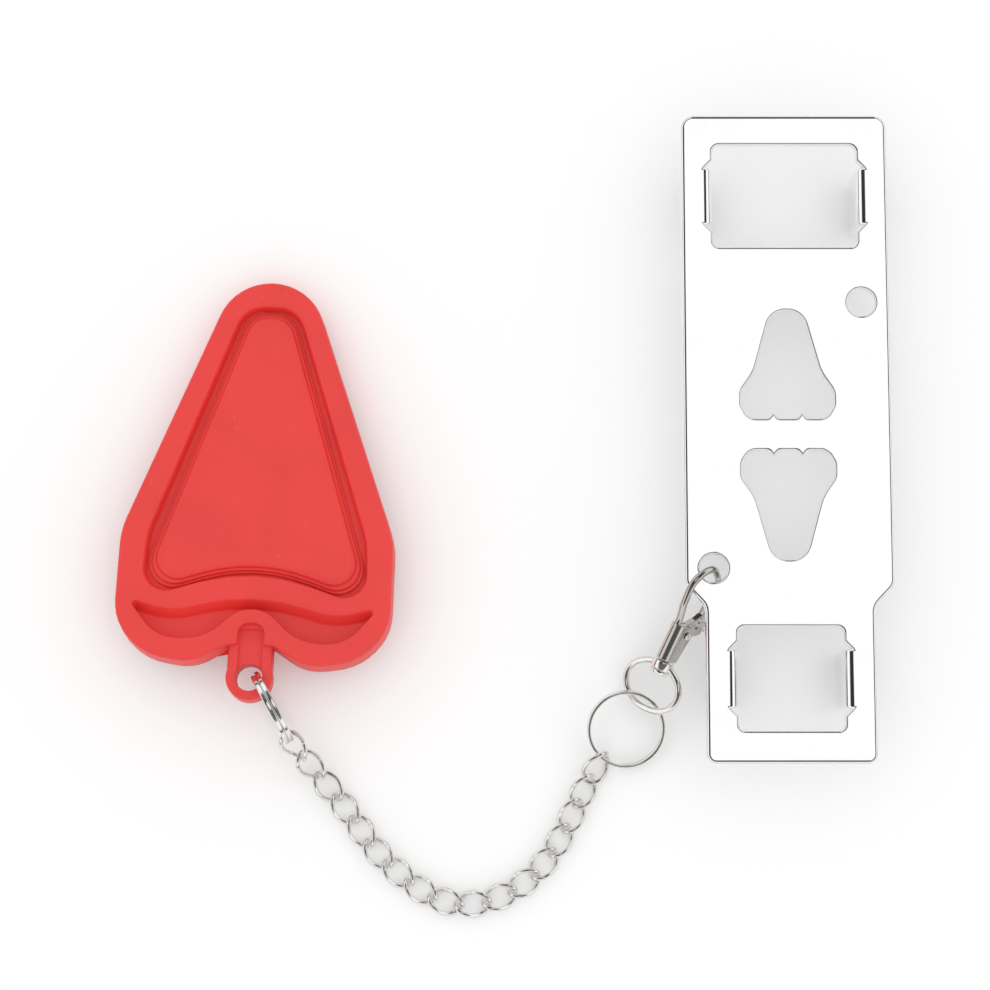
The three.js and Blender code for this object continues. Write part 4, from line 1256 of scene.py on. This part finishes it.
def build_clasp():
    """The body with its arm, the lever's pin, the swivel post and the spring."""
    sizes = settings("snap_hook")
    place = clasp_place()
    half = sizes.body_width / 2
    face = sizes.body_thickness / 2
    channel = sizes.lever_thickness / 2 + sizes.fine
    edge = sizes.edge
    round_back = face - half
    corners = [
        (round_back + sizes.taper / 2, 0, edge),
        (half - sizes.taper, 0, sizes.body_radius),
        (half, sizes.body_length, sizes.body_radius),
        (round_back, sizes.body_length, edge),
    ]
    pivot = lever_pivot(sizes)
    pin_hole = circle(sizes.pin + 2 * sizes.fine, pivot, PIN_SIDES)
    spine = -half + sizes.wire
    base = sizes.wall + sizes.rivet_tail_height + 2 * sizes.running
    body = slab(Filleted(corners), channel, face, edge, [pin_hole])
    body.add(slab(Filleted(corners), -face, -channel, edge, [pin_hole]))
    core = [
        (round_back + edge, edge, edge),
        (half - sizes.taper - edge / 2, edge, sizes.body_radius),
        (half - sizes.taper, base, edge),
        (spine, base, edge),
        (spine, sizes.body_length - edge, edge),
        (round_back, sizes.body_length - edge, edge),
    ]
    body.add(slab(Filleted(core), -channel - edge, channel + edge, edge / 2))
    body.add(clasp_back(sizes))
    body.add(hook_arm(sizes))
    piece = body.piece("snap_hook_body", place)
    # The body takes the nickel painted darker, which is painted shade for what its faces mirror
    settle(piece, "nickel", "clasp", "clasp_body", finish="cast_nickel")

    pin_end = face + sizes.fine
    head = domed(sizes.pin_head / 2, pin_end, pin_end + sizes.pin_head_height, PIN_DOME)
    shank = [(sizes.pin / 2, -pin_end - edge), (sizes.pin / 2, pin_end + edge / 2)]
    pin = turned(shank, PIN_SIDES)
    pin.add(turned(head, PIN_SIDES))
    pin.add(turned(head, PIN_SIDES), UPSIDE_DOWN)
    pin_place = place @ Matrix.Translation((*pivot, 0))
    settle(pin.piece("lever_rivet", pin_place), "nickel", "clasp", "lever_pin")

    boss_bottom = -sizes.running - sizes.loop_boss_height
    head_top = boss_bottom - sizes.running
    tail_start = sizes.wall + sizes.running
    tail_end = tail_start + sizes.rivet_tail_height
    head_end = sizes.rivet_head_height - head_top
    head = domed(sizes.rivet_head / 2, -head_top, head_end, RIVET_HEAD_DOME)
    tail = domed(sizes.rivet_tail / 2, tail_start, tail_end, RIVET_TAIL_DOME)
    shank = [(sizes.rivet / 2, head_top - edge), (sizes.rivet / 2, tail_start + edge)]
    rivet = turned(shank)
    rivet.add(turned(head), UPSIDE_DOWN)
    rivet.add(turned(tail))
    settle(rivet.piece("swivel_post", place @ ALONG_Y), "nickel", "clasp", "swivel_rivet")
    dress_spring()


def dress_spring():
    """The spring keeps its own shape and gets its drawn-wire finish."""
    spring = frame["nodes"]["lever_spring"]
    spring.data.materials.clear()
    spring.data.materials.append(finish_of("spring_steel"))


def rib_tree(material):
    """Ribs in a row along Y, each with rounded ridges."""
    tree, graph, given = new_tree("ribs", ["Spacing", "Width", "Length", "Thickness"], ["Count"])
    sockets = {"Count": given["Count"], "Offset": vector(graph, y=given["Spacing"])}
    row = graph.node("GeometryNodeMeshLine", sockets, mode="OFFSET")["Mesh"]
    ridge = given["Width"] * RIB_EDGE
    section = flat_curve(graph, given["Length"], given["Width"], ridge, RIB_EDGE_POINTS)
    half = given["Thickness"] * 0.5
    ends = {"Start": vector(graph, z=half * -1), "End": vector(graph, z=half)}
    path = graph.node("GeometryNodeCurvePrimitiveLine", ends)["Curve"]
    sockets = {"Points": row, "Instance": swept(graph, path, section)}
    ribs = graph.node("GeometryNodeInstanceOnPoints", sockets)["Instances"]
    close_tree(graph, ribs, material)
    return tree


def build_lever():
    """The gate and the thumb rest, in one piece, and the ribs on the thumb rest."""
    sizes = settings("snap_hook")
    place = clasp_place()
    pivot_x, pivot_y = lever_pivot(sizes)
    half = sizes.lever_thickness / 2
    top = sizes.body_length
    tip_x = sizes.offset + sizes.opening / 2
    gate_end = sizes.length - sizes.throat - 2 * sizes.running
    gate = sizes.gate
    gate_corners = [
        (pivot_x, pivot_y, 0),
        (tip_x + gate / 2, top + sizes.running, gate),
        (tip_x + gate / 2, gate_end, sizes.edge),
        (tip_x - gate / 2, gate_end, sizes.edge),
        (tip_x - gate / 2, top + sizes.rise + gate, gate),
        (pivot_x - gate / 2, top, gate / 2),
    ]
    thumb_x = sizes.body_width / 2 + sizes.reach
    thumb_end = top + sizes.rise - sizes.thumb / 2
    thumb_start = thumb_end + sizes.thumb
    thumb_corners = [
        (pivot_x + gate, pivot_y - gate / 2, 0),
        (thumb_x, thumb_end, gate / 2),
        (thumb_x, thumb_start, gate / 2),
        (tip_x, thumb_start, gate / 3),
        (pivot_x, top, 0),
    ]
    lever = slab(Filleted(gate_corners), -half, half, sizes.edge)
    inner, outer = half - LEVER_APART, half + LEVER_APART
    lever.add(slab(Filleted(thumb_corners), -inner, inner, sizes.edge))
    boss_hole = circle(sizes.pin + 2 * sizes.fine, steps=PIN_SIDES)
    boss = slab(circle(sizes.boss), -outer, outer, sizes.edge / 2, [boss_hole])
    lever.add(boss, Matrix.Translation((pivot_x, pivot_y, 0)))
    piece = lever.piece("thumb_lever", place)
    # The lever takes the nickel painted darker, which is painted shade for what its faces mirror
    settle(piece, "nickel", "lever", "clasp_lever", finish="cast_nickel")

    spacing = sizes.thumb / (sizes.ribs + 1)
    values = {
        "Count": sizes.ribs,
        "Spacing": spacing,
        "Width": sizes.rib_width,
        "Length": sizes.rib_height + sizes.rib_reach,
        "Thickness": sizes.lever_thickness + 2 * sizes.rib_proud,
    }
    rib_x = thumb_x + (sizes.rib_height - sizes.rib_reach) / 2
    rib_place = place @ Matrix.Translation((rib_x, thumb_end + spacing, 0))
    # The ribs take the nickel painted darker too, which is painted shade
    ribs = grown_from(rib_tree(finish_of("cast_nickel")), "thumb_ribs", values, rib_place)
    settle(ribs, "nickel", "lever")


def build_loop():
    """The swivel's eye with its bored boss."""
    sizes = settings("snap_hook")
    place = loop_place()
    top = -sizes.running
    bottom = top - sizes.loop_boss_height
    middle = top - (sizes.loop_boss_height + sizes.loop_length - sizes.loop_wire) / 2
    values = values_of(sizes, "loop", EYE_LENGTHS)
    eye_place = place @ Matrix.Translation((0, middle, 0))
    eye = grown_from(oval_tree(finish_of("nickel")), "swivel_eye", values, eye_place)
    settle(eye, "nickel", "loop", "swivel_loop")
    bore = circle(sizes.rivet + 2 * sizes.running, steps=32)
    boss = slab(circle(sizes.loop_boss), bottom, top, sizes.edge, [bore])
    settle(boss.piece("swivel_boss", place @ ALONG_Y), "nickel", "loop")


# Handle

HANDLE_SIDE_SHARES = [
    (0.165, 0.074, 0.05),
    (0.4, 0.0225, 0.35),
    (0.78, 0.041, 0.5),
    (1, 0.1255, 0.4),
    (0.995, 0.35, 0.6),
    (0.285, 1, 0.5),
]
GROOVE_SIDE_SHARES = [
    (0.2, 0.2465, 1.5),
    (0.824, 0.178, 0.2),
    (0.8, 0.345, 0.6),
    (0.2, 0.9375, 0.22),
]
PANEL_SIDE_SHARES = [
    (0.2, 0.274, 1.5),
    (0.81, 0.203, 0.18),
    (0.13, 0.909, 0.16),
]
POCKET_SIDE_SHARES = [
    (0.1, 0.165, 0.23),
    (0.33, 0.087, 0.39),
    (0.68, 0.087, 0.3),
    (0.92, 0.187, 0.03),
    (0.585, 0.155, 0.5),
    (0.2, 0.194, 1.3),
]
NOTCH_CORNER = 0.9 * MM
GROOVE_FOOT = 0.2 * MM
POCKET_FOOT = 0.3 * MM
LUG_FOOT = 0.4 * MM

# The step and the bead round the panel: distance from it in beads, share of its height, and
# beads above that share
PANEL_STEPS = [
    (2.9, 0, 0),
    (2.85, 0.3, -0.2),
    (2.7, 0.3, 0),
    (2.2, 0.3, 0),
    (2, 0.3, -0.15),
    (1.85, 0.3, -0.1),
    (1.65, 0.55, -0.35),
    (1.35, 0.55, -0.05),
    (1, 0.55, 0),
    (0.65, 0.55, -0.02),
    (0.3, 0.55, -0.1),
]
PANEL_EDGE_START = 0.1
PANEL_EDGE_STEPS = 10
PANEL_EDGE_FALL = 0.4

TAIL_OVERLAP = 0.6 * MM
TAIL_EDGE = 0.6 * MM
TAIL_STEPS = 40
CHANNEL_SHORTER = 1.4 * MM
KEYHOLE_EDGE = 0.3 * MM
KEYHOLE_STEPS = 44
FLOOR_OVERLAP = 0.4 * MM
FLOOR_EDGE = 0.2 * MM
FLOOR_STEPS = 20


def handle_half(sizes, shares):
    """One side of an outline, from its shares of the handle's size."""
    return [(x * sizes.half_width, y * sizes.reach, r * sizes.half_width) for x, y, r in shares]


def handle_outline(sizes, shares):
    return mirrored(handle_half(sizes, shares))


def panel_profile(sizes, floor, level):
    """The step and the bead that run round the panel, and its soft edge."""
    bead, edge = sizes.bead, sizes.panel_edge
    height = level - floor
    steps = [(x * bead, floor + height * share + rise * bead) for x, share, rise in PANEL_STEPS]
    out = PANEL_EDGE_START * bead
    turn_in = arc(edge, PANEL_EDGE_START, 1, PANEL_EDGE_STEPS)
    soft = [(x - edge + out, level - (edge - y) * PANEL_EDGE_FALL) for x, y in turn_in]
    return [*steps, *soft]


def handle_body(sizes):
    """The moulding with its groove, raised panel, pocket and locking lug."""
    top = sizes.thickness
    notch = sizes.channel_width / 2
    shoulder = handle_half(sizes, HANDLE_SIDE_SHARES)
    inner = [(notch, sizes.channel_length, notch), (notch, shoulder[0][1], NOTCH_CORNER)]
    corners = [*inner, *shoulder]
    skin = Skin()
    low, high = skin.walls(mirrored(corners), rounded(0, top, sizes.edge, 1, sizes.draft))
    floor = top - sizes.groove
    groove_floor, groove_edge = skin.walls(
        handle_outline(sizes, GROOVE_SIDE_SHARES),
        sunk(floor, top, sizes.inner_edge, GROOVE_FOOT, sizes.draft),
    )
    panel_foot, panel_edge = skin.walls(
        handle_outline(sizes, PANEL_SIDE_SHARES),
        panel_profile(sizes, floor, top - sizes.panel_drop),
    )
    pocket_floor, pocket_edge = skin.walls(
        handle_outline(sizes, POCKET_SIDE_SHARES),
        sunk(top - sizes.pocket, top, sizes.inner_edge / 2, POCKET_FOOT, sizes.draft),
        sizes.pocket_lean / sizes.pocket,
    )
    skin.flat(high, [groove_edge, pocket_edge])
    skin.flat(groove_floor, [panel_foot])
    skin.flat(panel_edge)
    skin.flat(pocket_floor)
    lug_outline = nose(
        settings("lock_plate").slot_length - 2 * sizes.lug_clearance,
        settings("lock_plate").slot_width - 2 * sizes.lug_clearance,
    )
    lug_outline = lug_outline.half_turned().moved((0, sizes.lug_edge))
    lug_bottom = LUG_FOOT - sizes.lug_height
    lug_profile = [(x - LUG_FOOT, lug_bottom + y) for x, y in arc(LUG_FOOT, -1, 0)]
    lug_end, lug_root = skin.walls(lug_outline, [*lug_profile, (0, 0)])
    skin.flat(low, [lug_root])
    skin.flat(lug_end)
    return skin


def round_points(radius, start, end, count):
    """Points of an arc about the origin, the angles in radians."""
    angles = np.linspace(start, end, count)
    return [Vector((radius * math.cos(a), radius * math.sin(a))) for a in angles]


def handle_tail(sizes):
    """The tail with its eye, and the keyhole-shaped channel that opens into it."""
    width, end = sizes.neck / 2, sizes.tail_end
    inside = sizes.channel_length + TAIL_OVERLAP
    joined = math.sqrt(end**2 - width**2)
    start = math.asin(joined / end)
    round_end = round_points(end, math.pi - start, math.tau + start, TAIL_STEPS)
    outline = Outline([*round_end, Vector((width, inside)), Vector((-width, inside))])
    eye, notch = sizes.tail_eye / 2, sizes.channel_width / 2
    meeting = math.acos(notch / eye)
    keyhole = round_points(eye, math.pi - meeting, math.tau + meeting, KEYHOLE_STEPS)
    channel_end = inside - CHANNEL_SHORTER
    keyhole = Outline([*keyhole, Vector((notch, channel_end)), Vector((-notch, channel_end))])
    tail = Skin()
    top = sizes.tail_thickness
    low, high = tail.walls(outline, rounded(TAIL_APART, top, TAIL_EDGE))
    hole_low, hole_high = tail.walls(keyhole, rounded(TAIL_APART, top, KEYHOLE_EDGE, -1))
    tail.flat(low, [hole_low])
    tail.flat(high, [hole_high])
    lip = round_points(eye, meeting, math.pi - meeting, FLOOR_STEPS)
    side, far = notch + FLOOR_OVERLAP, channel_end + FLOOR_OVERLAP
    near = lip[0].y - TAIL_APART
    floor_outline = Outline([(side, near), (side, far), (-side, far), (-side, near), *lip[::-1]])
    tail.add(slab(floor_outline, 2 * TAIL_APART, top - sizes.channel_depth, FLOOR_EDGE))
    return tail


def build_handle():
    """The moulded handle with its tail."""
    sizes = settings("handle")
    body = handle_body(sizes)
    body.add(handle_tail(sizes))
    settle(body.piece("locking_handle", handle_place()), "red_plastic", "handle", "handle")


# Stage

TABLE_REACH = 1.6
SENSOR_WIDTH = 36
NEAREST = 0.01

# How pale the table is where it isn't seen, but throws light back on the lock
BOUNCE = 0.8

# What the metal mirrors: a white panel overhead, a dark grey band round it, white walls below, and
# dark flags on both sides and straight ahead. Each range is of the direction's X, Y or Z
PANEL_WAY = (0.13, 0.15, 0.98)
PANEL_EDGE = (0.968, 0.98)
BAND_BOTTOM = (0.64, 0.7)
WALL_BOTTOM = (0.12, 0.2)
SIDE_FLAG_NEAR = (-0.16, -0.08)
SIDE_FLAG_FAR = (0.3, 0.4)
FAR_FLAG_NEAR = (0.3, 0.36)
FAR_FLAG_LEFT = (-0.04, 0.02)
FAR_FLAG_RIGHT = (0.2, 0.26)
FAR_FLAG_BOTTOM = (0.26, 0.42)
MIRRORED_SKY = 1.06


def build_table():
    """A white table that shows its shadows softly, and lights the lock like a pale grey one."""
    stage = settings("stage")
    material, graph = shader_graph("door_lock_table")
    path = graph.node("ShaderNodeLightPath")
    seen = path["Is Camera Ray"] + path["Is Glossy Ray"] + path["Is Transmission Ray"]
    pale = stage.table * seen + BOUNCE * (1 - seen)
    sockets = {"Red": pale, "Green": pale, "Blue": pale}
    tone = graph.node("ShaderNodeCombineColor", sockets)["Color"]
    cloth = graph.node("ShaderNodeBsdfDiffuse", {"Color": tone})["BSDF"]
    sockets = {"Color": (1, 1, 1, 1), "Strength": 1.0}
    glow = graph.node("ShaderNodeEmission", sockets)["Emission"]
    mixed = graph.node("ShaderNodeMixShader", {"Fac": seen * stage.glow})
    graph.feed(mixed.inner.inputs[1], cloth)
    graph.feed(mixed.inner.inputs[2], glow)
    close_material(graph, mixed["Shader"])
    mesh = bpy.data.meshes.new("table")
    reach = TABLE_REACH
    corners = [(-reach, -reach, 0), (reach, -reach, 0), (reach, reach, 0), (-reach, reach, 0)]
    mesh.from_pydata(corners, [], [(0, 1, 2, 3)])
    mesh.materials.append(material)
    table = bpy.data.objects.new("table", mesh)
    bpy.context.collection.objects.link(table)


def build_sky():
    """Even soft light from all round, in which metal mirrors a panel, a band, walls and flags."""
    stage = settings("stage")
    world = bpy.data.worlds.new("door_lock_sky")
    bpy.context.scene.world = world
    world.use_nodes = True
    world.node_tree.nodes.clear()
    sky = Graph(world.node_tree)
    direction = sky.node("ShaderNodeTexCoord")["Generated"]
    ways = sky.node("ShaderNodeSeparateXYZ", {"Vector": direction})
    right, ahead, up = ways["X"], ways["Y"], ways["Z"]
    light = sky.node("ShaderNodeLightPath")
    glossy, camera = light["Is Glossy Ray"], light["Is Camera Ray"]
    overhead = right * PANEL_WAY[0] + ahead * PANEL_WAY[1] + up * PANEL_WAY[2]
    panel = overhead.between(*PANEL_EDGE)
    band = up.between(*BAND_BOTTOM)
    beside = ahead.between(*SIDE_FLAG_NEAR) * (1 - ahead.between(*SIDE_FLAG_FAR))
    side_flag = band * beside
    beyond = right.between(*FAR_FLAG_LEFT) * (1 - right.between(*FAR_FLAG_RIGHT))
    far_flag = ahead.between(*FAR_FLAG_NEAR) * beyond * up.between(*FAR_FLAG_BOTTOM)
    flags = side_flag + (1 - side_flag) * far_flag
    walls = (1 - band * (1 - stage.haze)) * up.between(*WALL_BOTTOM) * (1 - flags)
    brightest = stage.sky * MIRRORED_SKY - stage.horizon
    mirrored = (panel + (1 - panel) * walls) * brightest + stage.horizon
    plain = stage.sky * (1 - camera) + camera
    strength = mirrored * glossy + plain * (1 - glossy)
    sockets = {"Color": (1, 1, 1, 1), "Strength": strength}
    background = sky.node("ShaderNodeBackground", sockets)["Background"]
    sky.node("ShaderNodeOutputWorld", {"Surface": background})


def build_camera():
    """The camera, which looks down on the table at a slight lean."""
    stage = settings("stage")
    aim = middle_of("lock_plate") - Vector((stage.aim_left, stage.aim_down, 0))
    aim.z = 0
    back = Vector((0, -math.sin(stage.tilt), math.cos(stage.tilt)))
    lens = bpy.data.cameras.new("camera")
    lens.sensor_width = SENSOR_WIDTH
    lens.lens = stage.focal / MM
    lens.clip_start = NEAREST
    camera_object = bpy.data.objects.new("camera", lens)
    camera_object.location = aim + back * stage.distance
    camera_object.rotation_euler = (stage.tilt, 0, 0)
    bpy.context.collection.objects.link(camera_object)
    bpy.context.scene.camera = camera_object


def build_stage():
    bpy.context.scene.view_settings.view_transform = "Standard"
    build_table()
    build_sky()
    build_camera()


# Operators


class DOORLOCK_OT_plate(Operator):
    """Build the claw plate"""

    bl_idname = "door_lock.plate"
    bl_label = "Claw plate"

    def execute(self, context):
        build_plate()
        return {"FINISHED"}


class DOORLOCK_OT_clasp(Operator):
    """Build the snap hook's body, its pin, its swivel post and its spring"""

    bl_idname = "door_lock.clasp"
    bl_label = "Snap hook"

    def execute(self, context):
        build_clasp()
        return {"FINISHED"}


class DOORLOCK_OT_lever(Operator):
    """Build the thumb lever with its gate and ribs"""

    bl_idname = "door_lock.lever"
    bl_label = "Thumb lever"

    def execute(self, context):
        build_lever()
        return {"FINISHED"}


class DOORLOCK_OT_loop(Operator):
    """Build the swivel's eye and boss"""

    bl_idname = "door_lock.loop"
    bl_label = "Swivel eye"

    def execute(self, context):
        build_loop()
        return {"FINISHED"}


class DOORLOCK_OT_rings(Operator):
    """Build the two split rings"""

    bl_idname = "door_lock.rings"
    bl_label = "Split rings"

    def execute(self, context):
        build_rings()
        return {"FINISHED"}


class DOORLOCK_OT_chain(Operator):
    """Build the links of the curb chain"""

    bl_idname = "door_lock.chain"
    bl_label = "Curb chain"

    def execute(self, context):
        build_chain()
        return {"FINISHED"}


class DOORLOCK_OT_handle(Operator):
    """Build the moulded locking handle"""

    bl_idname = "door_lock.handle"
    bl_label = "Locking handle"

    def execute(self, context):
        build_handle()
        return {"FINISHED"}


class DOORLOCK_OT_stage(Operator):
    """Build the table, the light and the camera"""

    bl_idname = "door_lock.stage"
    bl_label = "Table, light and camera"

    def execute(self, context):
        build_stage()
        return {"FINISHED"}


OPERATORS = (
    DOORLOCK_OT_stage,
    DOORLOCK_OT_plate,
    DOORLOCK_OT_clasp,
    DOORLOCK_OT_lever,
    DOORLOCK_OT_loop,
    DOORLOCK_OT_rings,
    DOORLOCK_OT_chain,
    DOORLOCK_OT_handle,
)


class DOORLOCK_PT_sidebar(Panel):
    """The lock's pieces, sizes and colours"""

    bl_label = "Door lock"
    bl_idname = "DOORLOCK_PT_sidebar"
    bl_space_type = "VIEW_3D"
    bl_region_type = "UI"
    bl_category = "Door lock"

    def draw(self, context):
        for operator in OPERATORS:
            self.layout.operator(operator.bl_idname)
        for name, group in GROUPS.items():
            box = self.layout.box()
            box.label(text=name.replace("_", " ").capitalize())
            values = getattr(context.scene, f"door_lock_{name}")
            for field in group.__annotations__:
                box.prop(values, field)


def register():
    for name, group in GROUPS.items():
        bpy.utils.register_class(group)
        setattr(bpy.types.Scene, f"door_lock_{name}", PointerProperty(type=group))
    for operator in OPERATORS:
        bpy.utils.register_class(operator)
    bpy.utils.register_class(DOORLOCK_PT_sidebar)


def unregister():
    bpy.utils.unregister_class(DOORLOCK_PT_sidebar)
    for operator in reversed(OPERATORS):
        bpy.utils.unregister_class(operator)
    for name, group in reversed(GROUPS.items()):
        delattr(bpy.types.Scene, f"door_lock_{name}")
        bpy.utils.unregister_class(group)


def main():
    register()
    for operator in OPERATORS:
        getattr(bpy.ops.door_lock, operator.bl_idname.split(".")[1])()


if __name__ == "__main__":
    main()
